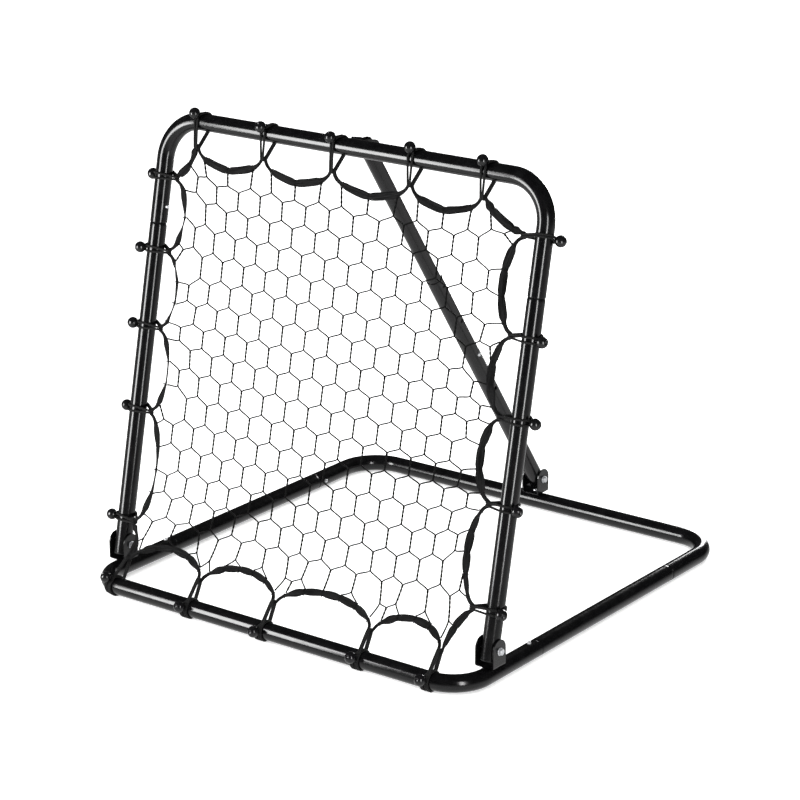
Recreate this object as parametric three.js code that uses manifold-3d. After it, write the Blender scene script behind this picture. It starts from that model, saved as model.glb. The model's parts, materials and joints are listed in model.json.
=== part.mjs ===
// Pitch back rebounder: a folding tubular frame that holds a net on elastic ball bungees.
// Millimetres, +Z up, the user stands at -Y and throws towards +Y.
// A flat base loop lies on the ground. The net frame is hinged on it and leans back,
// and a telescopic strut behind holds it at one of five angles.

import * as THREE from 'three';
import { mergeVertices } from 'three/addons/utils/BufferGeometryUtils.js';
import { ParametricGeometry } from 'three/addons/geometries/ParametricGeometry.js';
import Module from 'manifold-3d';

const wasm = await Module();
wasm.setup();

// ---------------------------------------------------------------- driving dimensions

const TUBE_OUTER = 38;
const TUBE_INNER = 35;
const NECK_OUTER = 34.4;           // swaged tube ends and the strut's inner tube
const NECK_INNER = 31.4;
const NECK_LENGTH = 50;
const SIDES = 16;                  // facets round a tube, one of them facing straight down
const GAP = 0.3;                   // between pieces that touch

const BASE_WIDTH = 1000;           // between the side tubes' centre lines
const BASE_DEPTH = 1005;           // between the front and rear bars' centre lines
const FRONT_BEND = 80;
const REAR_BEND = 92;
const FRONT_JOINT = 262;           // distances behind the front bar's centre line
const REAR_JOINT = 788;
const FRONT_BUTTON = 240;
const REAR_BUTTON = 808;

const HINGE_Y = 98.5;
const HINGE_Z = 74.5;
const TILT = THREE.MathUtils.degToRad(11.8);
const LEG_BOTTOM = -22;            // heights in the net frame, from its hinge axis
const LEG_JOINT = 724.5;
const LEG_BUTTON = 761;
const TOP_BAR = 957;
const TOP_BEND = 90;

const TOP_PIVOT_BACK = 52.5;       // strut's upper pivot, behind and above the top bar's axis
const TOP_PIVOT_UP = 2.7;
const STRUT_FOOT = -22;            // distances along the strut from its foot pivot
const STRUT_RIM = 719;
const STRUT_BUTTON = 462.5;
const STRUT_INNER_END = 425;
const STRUT_TOP_OVERHANG = 13.5;
const HOLE_PITCH = 119;
const HOLE_COUNT = 5;

const PLATE = 3;                   // bracket steel
const EAR_GAP = 40;
const TOP_EAR_GAP = 37;
const BOLT_R = 4;
const BOLT_HOLE_R = 4.3;
const WASHER_R = 8.5;
const WASHER_T = 1.6;
const HEX_FLATS = 13;

const BUTTON_R = 4.2;
const BUTTON_HOLE_R = 4.6;
const BUTTON_PROUD = 4.5;
const BUTTON_ROOT = 13.5;          // radius of the button's foot inside the tube

const CORD_R = 2.5;
const BALL_R = 12.5;
const BALL_REACH = 34;             // from the tube's axis to the ball's centre
const CORD_LOOP_R = 22.8;          // cord's centre line round the tube
const EYE_R = 8;                   // cord's centre line round the tape
const CORD_FLAT = 3;               // thickness of the cord squeezed under the front bar

// bungee places: along the bar from the middle, or up the leg from the hinge,
// with the ball's turn round the tube from straight out (or straight forward), degrees
const TOP_BUNGEES = [[-408, 32], [-222, 22], [-36, 28], [166, 41], [348, 38]];
const RIGHT_BUNGEES = [[842, -20], [639, 16], [472, -6], [293, 27], [79, 35]];
const BOTTOM_BUNGEES = [[418, 19], [240, 24], [-17, 12], [-224, 21], [-440, 45]];
const LEFT_BUNGEES = [[60, 21], [308, 0], [495, 22], [665, 40], [827, -5]];
const TOP_DROP = 52;               // from a bar's axis to the knot on the tape
const SIDE_INSET = 42;
const BOTTOM_BACK = 34;
const BOTTOM_UP = 49;

const TAPE_WIDE = 18;
const TAPE_NARROW = 6;
const TAPE_T = 2.5;
const TOP_SAG = 42;                // how far the tape hangs away from the straight line
const SIDE_SAG = 38;
const BOTTOM_SAG = 45;
const CORNER_SAG = 10;
const SCALLOP_STEPS = [0.15, 0.32, 0.5, 0.68, 0.85];
const FULLNESS = 0.5;              // exponent of a scallop's curve: 1 is a sine arch, less is rounder
const KNOT_HALF = 7;               // the tape runs straight this far each side of a knot
const NET_INSET = 11.4;            // net's border twine, inside the tape's centre line

const TWINE = 2.4;
const NET_T = 2;
const NET_COLUMNS = 15;
const NET_ROWS = 17;
const NET_RISE = 36.4;             // upright side of a cell
const NET_PITCH = 54.6;            // from row to row
const NET_TOP = 889;               // top of the first row's upright twines
const NET_TOP_X = -403;            // column 0 at the top, and the column spacing there
const NET_TOP_COLUMN = 64.1;
const NET_LOW_X = -410;            // the same at the bottom
const NET_LOW_COLUMN = 62.5;
const NET_SNAP = 7;                // a lattice corner this close to the tape is tied to it
const RELAX_ROUNDS = 60;
const MIN_CELL_AREA = 120;
const MIN_STEP = 6;                // between neighbouring ties on the border twine

// ---------------------------------------------------------------- colours

const BLACK_STEEL = { color: 0x0b0b0c, roughness: 0.28, metalness: 0.3 };
const ZINC = { color: 0xb9bcc0, roughness: 0.35, metalness: 0.9 };
const SPRING_STEEL = { color: 0x55585c, roughness: 0.4, metalness: 0.9 };
const BLACK_PLASTIC = { color: 0x101011, roughness: 0.45, metalness: 0 };
const BLACK_RUBBER = { color: 0x0d0d0e, roughness: 0.5, metalness: 0 };
const TAPE_CLOTH = { color: 0x1b1b1d, roughness: 0.85, metalness: 0 };
const NET_CORD = { color: 0x161617, roughness: 0.8, metalness: 0 };

// ---------------------------------------------------------------- solids

function signedVolume(position, index) {
  const a = new THREE.Vector3();
  const b = new THREE.Vector3();
  const c = new THREE.Vector3();
  let sum = 0;
  for (let i = 0; i < index.length; i += 3) {
    a.fromBufferAttribute(position, index[i]);
    b.fromBufferAttribute(position, index[i + 1]);
    c.fromBufferAttribute(position, index[i + 2]);
    sum += a.dot(b.cross(c));
  }
  return sum / 6;
}

// One closed body: vertices merged, empty triangles dropped, faces pointing out.
function solid(geometry) {
  const bare = geometry.clone();
  bare.deleteAttribute('normal');
  bare.deleteAttribute('uv');
  const merged = mergeVertices(bare, 1e-4);
  const index = [];
  for (let i = 0; i < merged.index.count; i += 3) {
    const [a, b, c] = [0, 1, 2].map((k) => merged.index.getX(i + k));
    if (a !== b && b !== c && c !== a) index.push(a, b, c);
  }
  if (signedVolume(merged.attributes.position, index) < 0) index.reverse();
  merged.setIndex(index);
  merged.computeVertexNormals();
  return merged;
}

function toManifold(geometry) {
  const closed = solid(geometry);
  return new wasm.Manifold(new wasm.Mesh({
    numProp: 3,
    vertProperties: new Float32Array(closed.attributes.position.array),
    triVerts: new Uint32Array(closed.index.array),
  }));
}

function fromManifold(body) {
  const mesh = body.getMesh();
  const geometry = new THREE.BufferGeometry();
  geometry.setAttribute('position', new THREE.BufferAttribute(new Float32Array(mesh.vertProperties), 3));
  geometry.setIndex([...mesh.triVerts]);
  return solid(geometry);
}

function join(...pieces) {
  return fromManifold(pieces.map(toManifold).reduce((all, piece) => all.add(piece)));
}

function cut(piece, ...tools) {
  return fromManifold(tools.map(toManifold).reduce((rest, tool) => rest.subtract(tool), toManifold(piece)));
}

// ---------------------------------------------------------------- basic shapes

const acrossFlats = (width, sides = SIDES) => width / 2 / Math.cos(Math.PI / sides);

// A turned solid about Z from its [radius, height] outline, with flats facing the axes.
function turned(outline, sides = SIDES) {
  const points = outline.map(([r, z]) => new THREE.Vector2(r, z));
  return new THREE.LatheGeometry(points, sides, Math.PI / sides).rotateX(Math.PI / 2);
}

function straightTube(outline) {
  return turned([...outline, outline[0]]);
}

function rod(radius, length, sides = 12) {
  return new THREE.CylinderGeometry(radius, radius, length, sides);
}

function rodAlongX(radius, length, x, y, z) {
  return rod(radius, length).rotateZ(Math.PI / 2).translate(x, y, z);
}

function box(low, high) {
  const size = high.map((value, k) => value - low[k]);
  const middle = high.map((value, k) => (value + low[k]) / 2);
  return new THREE.BoxGeometry(...size).translate(...middle);
}

function polygon(width, Kind) {
  const outline = new Kind();
  const radius = acrossFlats(width);
  for (let k = 0; k < SIDES; k += 1) {
    const angle = (2 * Math.PI * (k + 0.5)) / SIDES;
    const [x, y] = [radius * Math.cos(angle), radius * Math.sin(angle)];
    if (k === 0) outline.moveTo(x, y);
    else outline.lineTo(x, y);
  }
  outline.closePath();
  return outline;
}

// A path whose sections stand exactly where its stations are.
class StationPath extends THREE.Curve {
  constructor(stations) {
    super();
    this.stations = stations;
  }

  getPointAt(u, target = new THREE.Vector3()) {
    return target.copy(this.stations[Math.round(u * (this.stations.length - 1))].point);
  }

  getTangentAt(u, target = new THREE.Vector3()) {
    return target.copy(this.stations[Math.round(u * (this.stations.length - 1))].tangent);
  }
}

// Half-loop of tube in a plane: up one side, round two bends, along the bar and down the other.
// `across` and `ahead` span the plane; the ends stand `reach` back from the bar.
function bentTube(across, ahead, width, reach, bend) {
  const stations = [];
  const place = (x, y, tx, ty) => stations.push({
    point: across.clone().multiplyScalar(x).addScaledVector(ahead, y),
    tangent: across.clone().multiplyScalar(tx).addScaledVector(ahead, ty),
  });
  const bendSteps = 6;
  place(-width / 2, reach, 0, -1);
  for (const side of [-1, 1]) {
    for (let k = 0; k <= bendSteps; k += 1) {
      const turn = (Math.PI / 2) * (side < 0 ? k / bendSteps : 1 - k / bendSteps);
      const x = side * (width / 2 - bend + bend * Math.cos(turn));
      const y = bend - bend * Math.sin(turn);
      place(x, y, Math.sin(turn), side * Math.cos(turn));
    }
  }
  place(width / 2, reach, 0, 1);
  const section = polygon(TUBE_OUTER, THREE.Shape);
  section.holes.push(polygon(TUBE_INNER, THREE.Path));
  const path = new StationPath(stations);
  return new THREE.ExtrudeGeometry(section, { steps: stations.length - 1, extrudePath: path });
}

// ---------------------------------------------------------------- the scene graph

const X = new THREE.Vector3(1, 0, 0);
const Y = new THREE.Vector3(0, 1, 0);
const Z = new THREE.Vector3(0, 0, 1);

const model = new THREE.Group();
const stand = new THREE.Group();       // the whole object as it stands on its bungees
const netFrame = new THREE.Group();    // Z runs up the legs, Y points behind the net
const strut = new THREE.Group();       // Z runs up the strut
model.add(stand);
stand.add(netFrame, strut);
netFrame.position.set(0, HINGE_Y, HINGE_Z);
netFrame.rotation.x = -TILT;

function add(group, name, geometry, finish) {
  const mesh = new THREE.Mesh(solid(geometry), new THREE.MeshStandardMaterial(finish));
  mesh.name = name;
  group.add(mesh);
  return mesh;
}

// ---------------------------------------------------------------- frame tubes

const TUBE_Z = TUBE_OUTER / 2;

// A hole through one wall, for a snap button that points along `direction`.
function buttonHole(at, direction) {
  const hole = rod(BUTTON_HOLE_R, 12, 10);
  hole.applyQuaternion(new THREE.Quaternion().setFromUnitVectors(Y, direction));
  const middle = at.clone().addScaledVector(direction, (TUBE_OUTER + NECK_INNER) / 4);
  return hole.translate(...middle);
}

const at = (x, y, z) => new THREE.Vector3(x, y, z);
const halfWidth = BASE_WIDTH / 2;

function baseTubes() {
  const front = bentTube(X, Y, BASE_WIDTH, FRONT_JOINT, FRONT_BEND).translate(0, 0, TUBE_Z);
  add(stand, 'front_tube', cut(
    front,
    buttonHole(at(-halfWidth, FRONT_BUTTON, TUBE_Z), Z),
    buttonHole(at(halfWidth, FRONT_BUTTON, TUBE_Z), Z),
  ), BLACK_STEEL);

  const back = Y.clone().negate();
  const rearReach = BASE_DEPTH - REAR_JOINT;
  const rear = bentTube(X, back, BASE_WIDTH, rearReach, REAR_BEND).translate(0, BASE_DEPTH, TUBE_Z);
  const screwHole = rod(2.8, 10, 10).rotateX(Math.PI / 2).translate(0, BASE_DEPTH, TUBE_OUTER - 2);
  add(stand, 'rear_tube', cut(
    rear,
    buttonHole(at(-halfWidth, REAR_BUTTON, TUBE_Z), X),
    buttonHole(at(halfWidth, REAR_BUTTON, TUBE_Z), X.clone().negate()),
    screwHole,
  ), BLACK_STEEL);

  for (const [name, side] of [['left', -1], ['right', 1]]) {
    const sideTube = sideRail().translate(side * halfWidth, 0, TUBE_Z);
    add(stand, `${name}_side_tube`, cut(
      sideTube,
      buttonHole(at(side * halfWidth, FRONT_BUTTON, TUBE_Z), Z),
      buttonHole(at(side * halfWidth, REAR_BUTTON, TUBE_Z), at(-side, 0, 0)),
    ), BLACK_STEEL);
  }
}

// Straight tube along Y with a swaged neck at each end.
function sideRail() {
  const outer = acrossFlats(TUBE_OUTER);
  const inner = acrossFlats(TUBE_INNER);
  const neck = acrossFlats(NECK_OUTER);
  const bore = acrossFlats(NECK_INNER);
  const front = FRONT_JOINT + GAP;
  const rear = REAR_JOINT - GAP;
  const outline = [
    [bore, front - NECK_LENGTH], [neck, front - NECK_LENGTH], [neck, front], [outer, front],
    [outer, rear], [neck, rear], [neck, rear + NECK_LENGTH], [bore, rear + NECK_LENGTH],
    [bore, rear], [inner, rear - 6], [inner, front + 6], [bore, front],
  ];
  return straightTube(outline).rotateX(-Math.PI / 2);
}

function netFrameTubes() {
  const down = Z.clone().negate();
  const top = bentTube(X, down, BASE_WIDTH, TOP_BAR - LEG_JOINT, TOP_BEND).translate(0, 0, TOP_BAR);
  add(netFrame, 'top_tube', cut(
    top,
    buttonHole(at(-halfWidth, 0, LEG_BUTTON), X),
    buttonHole(at(halfWidth, 0, LEG_BUTTON), X.clone().negate()),
  ), BLACK_STEEL);

  const outer = acrossFlats(TUBE_OUTER);
  const inner = acrossFlats(TUBE_INNER);
  const neck = acrossFlats(NECK_OUTER);
  const bore = acrossFlats(NECK_INNER);
  const end = LEG_JOINT - GAP;
  const outline = [
    [inner, LEG_BOTTOM], [outer, LEG_BOTTOM], [outer, end], [neck, end],
    [neck, end + NECK_LENGTH], [bore, end + NECK_LENGTH], [bore, end], [inner, end - 6],
  ];
  for (const [name, side] of [['left', -1], ['right', 1]]) {
    add(netFrame, `${name}_leg`, cut(
      straightTube(outline).translate(side * halfWidth, 0, 0),
      rodAlongX(BOLT_HOLE_R, 50, side * halfWidth, 0, 0),
      buttonHole(at(side * halfWidth, 0, LEG_BUTTON), at(-side, 0, 0)),
    ), BLACK_STEEL);
  }
}

// Push-in plug that closes a leg's lower end.
function legPlugs() {
  const rim = acrossFlats(TUBE_OUTER - 1);
  const stem = acrossFlats(TUBE_INNER - 2 * GAP);
  const outline = [
    [0, LEG_BOTTOM - 2.5], [rim - 2, LEG_BOTTOM - 2.5], [rim, LEG_BOTTOM - GAP],
    [stem, LEG_BOTTOM - GAP], [stem, LEG_BOTTOM + 12], [0, LEG_BOTTOM + 12],
  ];
  for (const [name, side] of [['left', -1], ['right', 1]]) {
    add(netFrame, `${name}_leg_plug`, turned(outline).translate(side * halfWidth, 0, 0), BLACK_PLASTIC);
  }
}

// ---------------------------------------------------------------- strut

const topPivot = at(0, TOP_PIVOT_BACK, TOP_BAR + TOP_PIVOT_UP);
const topPivotInStand = topPivot.clone().applyAxisAngle(X, -TILT).add(at(0, HINGE_Y, HINGE_Z));
const footPivot = at(0, BASE_DEPTH, HINGE_Z);
const strutRun = topPivotInStand.clone().sub(footPivot);
const STRUT_LENGTH = strutRun.length();
const STRUT_LEAN = Math.atan2(-strutRun.y, strutRun.z);
strut.position.copy(footPivot);
strut.rotation.x = STRUT_LEAN;

function strutTubes() {
  const outer = acrossFlats(TUBE_OUTER);
  const inner = acrossFlats(TUBE_INNER);
  const neck = acrossFlats(NECK_OUTER);
  const bore = acrossFlats(NECK_INNER);
  const holes = [];
  for (let k = 0; k < HOLE_COUNT; k += 1) {
    const height = STRUT_BUTTON + (2 - k) * HOLE_PITCH;
    holes.push(buttonHole(at(0, 0, height), X));
  }
  add(strut, 'strut_lower_tube', cut(
    straightTube([[inner, STRUT_FOOT], [outer, STRUT_FOOT], [outer, STRUT_RIM], [inner, STRUT_RIM]]),
    rodAlongX(BOLT_HOLE_R, 50, 0, 0, 0),
    ...holes,
  ), BLACK_STEEL);

  const end = STRUT_LENGTH + STRUT_TOP_OVERHANG;
  const slotDown = 7.4;              // room for the bolt as the frame tilts
  const slotUp = 0.8;
  const slotHalf = BOLT_HOLE_R + 1.9;
  const slot = box([-25, -slotHalf, STRUT_LENGTH - slotDown], [25, slotHalf, STRUT_LENGTH + slotUp]);
  const slotEnds = [-slotDown, slotUp].map((dz) => rodAlongX(slotHalf, 50, 0, 0, STRUT_LENGTH + dz));
  add(strut, 'strut_upper_tube', cut(
    straightTube([[bore, STRUT_INNER_END], [neck, STRUT_INNER_END], [neck, end], [bore, end]]),
    slot,
    ...slotEnds,
    buttonHole(at(0, 0, STRUT_BUTTON), X),
  ), BLACK_STEEL);
}

// ---------------------------------------------------------------- brackets

// Upright ear in the YZ plane: straight sides and a round top about the bolt.
function earOutline(halfY, bottom, capZ) {
  const ear = new THREE.Shape();
  ear.moveTo(-halfY, bottom);
  ear.lineTo(halfY, bottom);
  ear.lineTo(halfY, capZ);
  ear.absarc(0, capZ, halfY, 0, Math.PI, false);
  ear.closePath();
  return ear;
}

// Folded channel: an ear on each side of the tube, joined by a floor that sits on the bar.
function channel(outline, gap, floorTop, reach) {
  const width = gap + 2 * PLATE;
  const block = new THREE.ExtrudeGeometry(outline, { depth: width, bevelEnabled: false, curveSegments: 8 });
  block.rotateX(Math.PI / 2).rotateZ(Math.PI / 2).translate(-width / 2, 0, 0);
  const inside = box([-gap / 2, -reach, floorTop], [gap / 2, reach, reach]);
  return cut(block, inside, rodAlongX(BOLT_HOLE_R, width + 10, 0, 0, 0));
}

function brackets() {
  const earHalf = 22;
  const bottom = TUBE_OUTER + GAP - HINGE_Z;
  const ear = earOutline(earHalf, bottom, 3);
  for (const [name, side] of [['left', -1], ['right', 1]]) {
    const bracket = channel(ear, EAR_GAP, bottom + PLATE, 60);
    add(stand, `${name}_hinge_bracket`, bracket.translate(side * halfWidth, HINGE_Y, HINGE_Z), BLACK_STEEL);
  }
  const screwHole = rod(2.8, 10, 10).rotateX(Math.PI / 2).translate(0, 0, bottom);
  const rear = cut(channel(ear, EAR_GAP, bottom + PLATE, 60), screwHole);
  add(stand, 'rear_bracket', rear.translate(0, BASE_DEPTH, HINGE_Z), BLACK_STEEL);

  const screwTop = bottom + PLATE + GAP;
  const screw = turned([[0, bottom - 8], [2.4, bottom - 8], [2.4, screwTop], [4.5, screwTop],
    [3.6, screwTop + 2.2], [0, screwTop + 2.2]], 10);
  add(stand, 'rear_bracket_screw', screw.translate(0, BASE_DEPTH, HINGE_Z), ZINC);
}

// Channel behind the top bar. Its ears point backwards.
function topBracket() {
  const floor = TUBE_OUTER / 2 + GAP - TOP_PIVOT_BACK;
  const bracket = channel(earOutline(18, floor, 0), TOP_EAR_GAP, floor + PLATE, 60).rotateX(-Math.PI / 2);
  add(netFrame, 'top_bracket', bracket.translate(...topPivot), BLACK_STEEL);
}

// ---------------------------------------------------------------- bolts and nuts

const HEAD_T = 5.3;
const NUT_T = 6.5;

// Bolt along X with its washer; the head is at +X outside an ear pair `outside` wide.
function bolt(outside) {
  const seat = outside / 2 + GAP;
  const tip = -(seat + WASHER_T + NUT_T + 3);
  const hexR = acrossFlats(HEX_FLATS, 6);
  const shank = turned([[0, tip], [BOLT_R, tip + 1], [BOLT_R, seat], [WASHER_R, seat],
    [WASHER_R, seat + WASHER_T], [0, seat + WASHER_T]], 12);
  const head = new THREE.CylinderGeometry(hexR - 0.8, hexR, HEAD_T, 6).rotateX(Math.PI / 2);
  head.translate(0, 0, seat + WASHER_T + HEAD_T / 2 - 0.2);
  return join(shank, head).rotateY(Math.PI / 2);
}

function nut(outside) {
  const seat = outside / 2 + GAP;
  const washer = rod(WASHER_R, WASHER_T, 12).translate(0, seat + WASHER_T / 2, 0);
  const hex = rod(acrossFlats(HEX_FLATS, 6), NUT_T, 6).translate(0, seat + WASHER_T + NUT_T / 2 - 0.2, 0);
  const bore = rod(BOLT_HOLE_R, 100, 12);
  return cut(join(washer, hex), bore).rotateZ(Math.PI / 2);
}

function fasteners() {
  const outside = EAR_GAP + 2 * PLATE;
  const topOutside = TOP_EAR_GAP + 2 * PLATE;
  add(stand, 'right_hinge_bolt', bolt(outside).translate(halfWidth, HINGE_Y, HINGE_Z), ZINC);
  add(stand, 'right_hinge_nut', nut(outside).translate(halfWidth, HINGE_Y, HINGE_Z), ZINC);
  const leftBolt = bolt(outside).rotateZ(Math.PI).translate(-halfWidth, HINGE_Y, HINGE_Z);
  const leftNut = nut(outside).rotateZ(Math.PI).translate(-halfWidth, HINGE_Y, HINGE_Z);
  add(stand, 'left_hinge_bolt', leftBolt, ZINC);
  add(stand, 'left_hinge_nut', leftNut, ZINC);
  add(stand, 'rear_pivot_bolt', bolt(outside).translate(...footPivot), ZINC);
  add(stand, 'rear_pivot_nut', nut(outside).translate(...footPivot), ZINC);
  add(netFrame, 'top_pivot_bolt', bolt(topOutside).translate(...topPivot), ZINC);
  add(netFrame, 'top_pivot_nut', nut(topOutside).translate(...topPivot), ZINC);
}

// ---------------------------------------------------------------- snap buttons

// Domed button that stands along Z from inside the tube.
function buttonShape() {
  const top = TUBE_OUTER / 2 + BUTTON_PROUD;
  return turned([[0, BUTTON_ROOT], [BUTTON_R, BUTTON_ROOT], [BUTTON_R, top - 2],
    [BUTTON_R * 0.7, top - 0.5], [0, top]], 10);
}

// Bent spring strip inside the tube: one leg lifts the button, the other bears on the far wall.
function springShape() {
  const high = BUTTON_ROOT - 0.4;
  const low = -NECK_INNER / 2 + 0.8;
  const outline = new THREE.Shape([
    [14, high], [-20, high], [-27, 4], [-27, -6], [-20, low], [14, low],
    [14, low + 1], [-19.5, low + 1], [-26, -5.7], [-26, 3.7], [-19.5, high - 1], [14, high - 1],
  ].map(([x, y]) => new THREE.Vector2(x, y)));
  const strip = new THREE.ExtrudeGeometry(outline, { depth: 8, bevelEnabled: false });
  return strip.translate(0, 0, -4).rotateX(Math.PI / 2);
}

// `along` is the tube's direction towards the joint's open side, `out` is where the button points.
function snapButton(group, name, place, along, out) {
  const turn = new THREE.Matrix4().makeBasis(along, out.clone().cross(along), out);
  const move = new THREE.Matrix4().makeTranslation(place.x, place.y, place.z).multiply(turn);
  add(group, `${name}_button`, buttonShape().applyMatrix4(move), ZINC);
  add(group, `${name}_spring`, springShape().applyMatrix4(move), SPRING_STEEL);
}

function snapButtons() {
  for (const [name, side] of [['left', -1], ['right', 1]]) {
    const x = side * halfWidth;
    const inward = at(-side, 0, 0);
    snapButton(stand, `front_${name}`, at(x, FRONT_BUTTON, TUBE_Z), Y.clone().negate(), Z);
    snapButton(stand, `rear_${name}`, at(x, REAR_BUTTON, TUBE_Z), Y, inward);
    snapButton(netFrame, `${name}_leg`, at(x, 0, LEG_BUTTON), Z, inward);
  }
  snapButton(strut, 'strut', at(0, 0, STRUT_BUTTON), Z.clone().negate(), X);
}

// ---------------------------------------------------------------- net surface

// The net bellies forward of the legs near its foot, where the front bar's bungees hold it.
const kneeOffset = at(0, BOTTOM_BACK - HINGE_Y, BOTTOM_UP + TUBE_Z - HINGE_Z).applyAxisAngle(X, TILT);
const LOW_KNOT = kneeOffset.z;
const LOW_KNOT_Y = kneeOffset.y;
const NET_Y = -8;
const NET_KNEE = 60;

function netY(height) {
  return NET_Y + (LOW_KNOT_Y - NET_Y) * Math.exp(-(height - LOW_KNOT) / NET_KNEE);
}

// Knots clockwise from the top left, as [x, height] in the net frame.
function netKnots() {
  const knotX = halfWidth - SIDE_INSET;
  const top = TOP_BUNGEES.map(([x]) => [x, TOP_BAR - TOP_DROP]);
  const right = RIGHT_BUNGEES.map(([height]) => [knotX, height]);
  const bottom = BOTTOM_BUNGEES.map(([x]) => [frontBarPlace(x).knotX, LOW_KNOT]);
  const left = LEFT_BUNGEES.map(([height]) => [-knotX, height]);
  return [...top, ...right, ...bottom, ...left].map(([x, y]) => new THREE.Vector2(x, y));
}

// Centre of the front bar at x, where its ends already run into the bends.
function frontBarPlace(x) {
  const past = Math.max(0, Math.abs(x) - (halfWidth - FRONT_BEND));
  const turn = Math.asin(past / FRONT_BEND) * Math.sign(x);
  const y = FRONT_BEND * (1 - Math.cos(turn));
  return { y, turn, knotX: x - BOTTOM_BACK * Math.sin(turn) };
}

// Which side of the net a knot is on, and which way the outline runs there.
const knotSide = (k) => Math.floor(k / 5) % 4;
const SIDE_RUN = [[1, 0], [0, -1], [-1, 0], [0, 1]].map(([x, y]) => new THREE.Vector2(x, y));

// The outline that hangs in scallops between the knots.
function scallops() {
  const knots = netKnots();
  const sags = [TOP_SAG, SIDE_SAG, BOTTOM_SAG, SIDE_SAG];
  const stations = [];
  knots.forEach((knot, k) => {
    const next = (k + 1) % knots.length;
    const run = knots[next].clone().sub(knot).normalize();
    const inward = new THREE.Vector2(run.y, -run.x);
    const corner = k % 5 === 4;
    const sag = corner ? CORNER_SAG : sags[knotSide(k)];
    const spread = corner ? 0.3 : 1;
    const start = knot.clone().addScaledVector(SIDE_RUN[knotSide(k)], KNOT_HALF);
    const end = knots[next].clone().addScaledVector(SIDE_RUN[knotSide(next)], -KNOT_HALF);
    for (const t of [0, ...SCALLOP_STEPS, 1]) {
      const hang = Math.sin(Math.PI * t) ** FULLNESS;
      const point = start.clone().lerp(end, t).addScaledVector(inward, sag * hang);
      stations.push({ point, fullness: spread * hang });
    }
  });
  return stations;
}

// ---------------------------------------------------------------- binding tape

function bindingTape() {
  const stations = scallops();
  const count = stations.length;
  const corners = [[-1, -1], [1, -1], [1, 1], [-1, 1]];
  const surface = (u, v, target) => {
    const k = Math.round(u * count) % count;
    const before = stations[(k + count - 1) % count].point;
    const after = stations[(k + 1) % count].point;
    const side = after.clone().sub(before).normalize();
    const { point, fullness } = stations[k];
    const half = (TAPE_NARROW + (TAPE_WIDE - TAPE_NARROW) * fullness ** 0.7) / 2;
    const [a, b] = corners[Math.round(v * 4) % 4];
    const x = point.x + side.y * half * a;
    const z = point.y - side.x * half * a;
    target.set(x, netY(point.y) + (b * TAPE_T) / 2, z);
  };
  add(netFrame, 'binding_tape', new ParametricGeometry(surface, count, 4), TAPE_CLOTH);
}

// ---------------------------------------------------------------- net

// Where the segment from a to b meets the border, as its place along the border.
function crossing(a, b, border) {
  for (let k = 0; k < border.length; k += 1) {
    const c = border[k];
    const d = border[(k + 1) % border.length];
    const ab = b.clone().sub(a);
    const cd = d.clone().sub(c);
    const ac = c.clone().sub(a);
    const det = ab.x * cd.y - ab.y * cd.x;
    const s = (ac.x * cd.y - ac.y * cd.x) / det;
    const t = (ac.x * ab.y - ac.y * ab.x) / det;
    if (s >= 0 && s <= 1 && t >= 0 && t < 1) return { along: k + t, point: c.clone().lerp(d, t) };
  }
  return null;
}

function isInside(p, border) {
  let inside = false;
  border.forEach((a, k) => {
    const b = border[(k + 1) % border.length];
    if ((a.y > p.y) !== (b.y > p.y) && p.x < a.x + ((p.y - a.y) * (b.x - a.x)) / (b.y - a.y)) inside = !inside;
  });
  return inside;
}

// The border's nearest point to p: how far off it is, and its place along the border.
function nearest(p, border) {
  const feet = border.map((a, k) => {
    const run = border[(k + 1) % border.length].clone().sub(a);
    const t = THREE.MathUtils.clamp(p.clone().sub(a).dot(run) / run.lengthSq(), 0, 1);
    const point = a.clone().addScaledVector(run, t);
    return { along: k + t, point, gap: point.distanceTo(p) };
  });
  return feet.reduce((best, foot) => (foot.gap < best.gap ? foot : best));
}

// Hexagon lattice with upright twines, laid over the outline's box.
function lattice() {
  const columnX = (column, height) => {
    const t = (NET_TOP - height) / (NET_TOP - LOW_KNOT);
    const first = THREE.MathUtils.lerp(NET_TOP_X, NET_LOW_X, t);
    return first + column * THREE.MathUtils.lerp(NET_TOP_COLUMN, NET_LOW_COLUMN, t);
  };
  const vertices = [];
  const edges = [];
  const upper = new Map();
  const lower = new Map();
  for (let row = 0; row < NET_ROWS; row += 1) {
    const top = NET_TOP - row * NET_PITCH;
    for (let k = -2; k < NET_COLUMNS; k += 1) {
      const column = row % 2 ? k : k + 0.5;
      upper.set(`${row},${column}`, vertices.length);
      vertices.push(new THREE.Vector2(columnX(column, top), top));
      lower.set(`${row},${column}`, vertices.length);
      vertices.push(new THREE.Vector2(columnX(column, top - NET_RISE), top - NET_RISE));
      edges.push([vertices.length - 2, vertices.length - 1]);
    }
  }
  for (const [key, start] of lower) {
    const [row, column] = key.split(',').map(Number);
    for (const side of [-0.5, 0.5]) {
      const end = upper.get(`${row + 1},${column + side}`);
      if (end !== undefined) edges.push([start, end]);
    }
  }
  return { vertices, edges };
}

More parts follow.
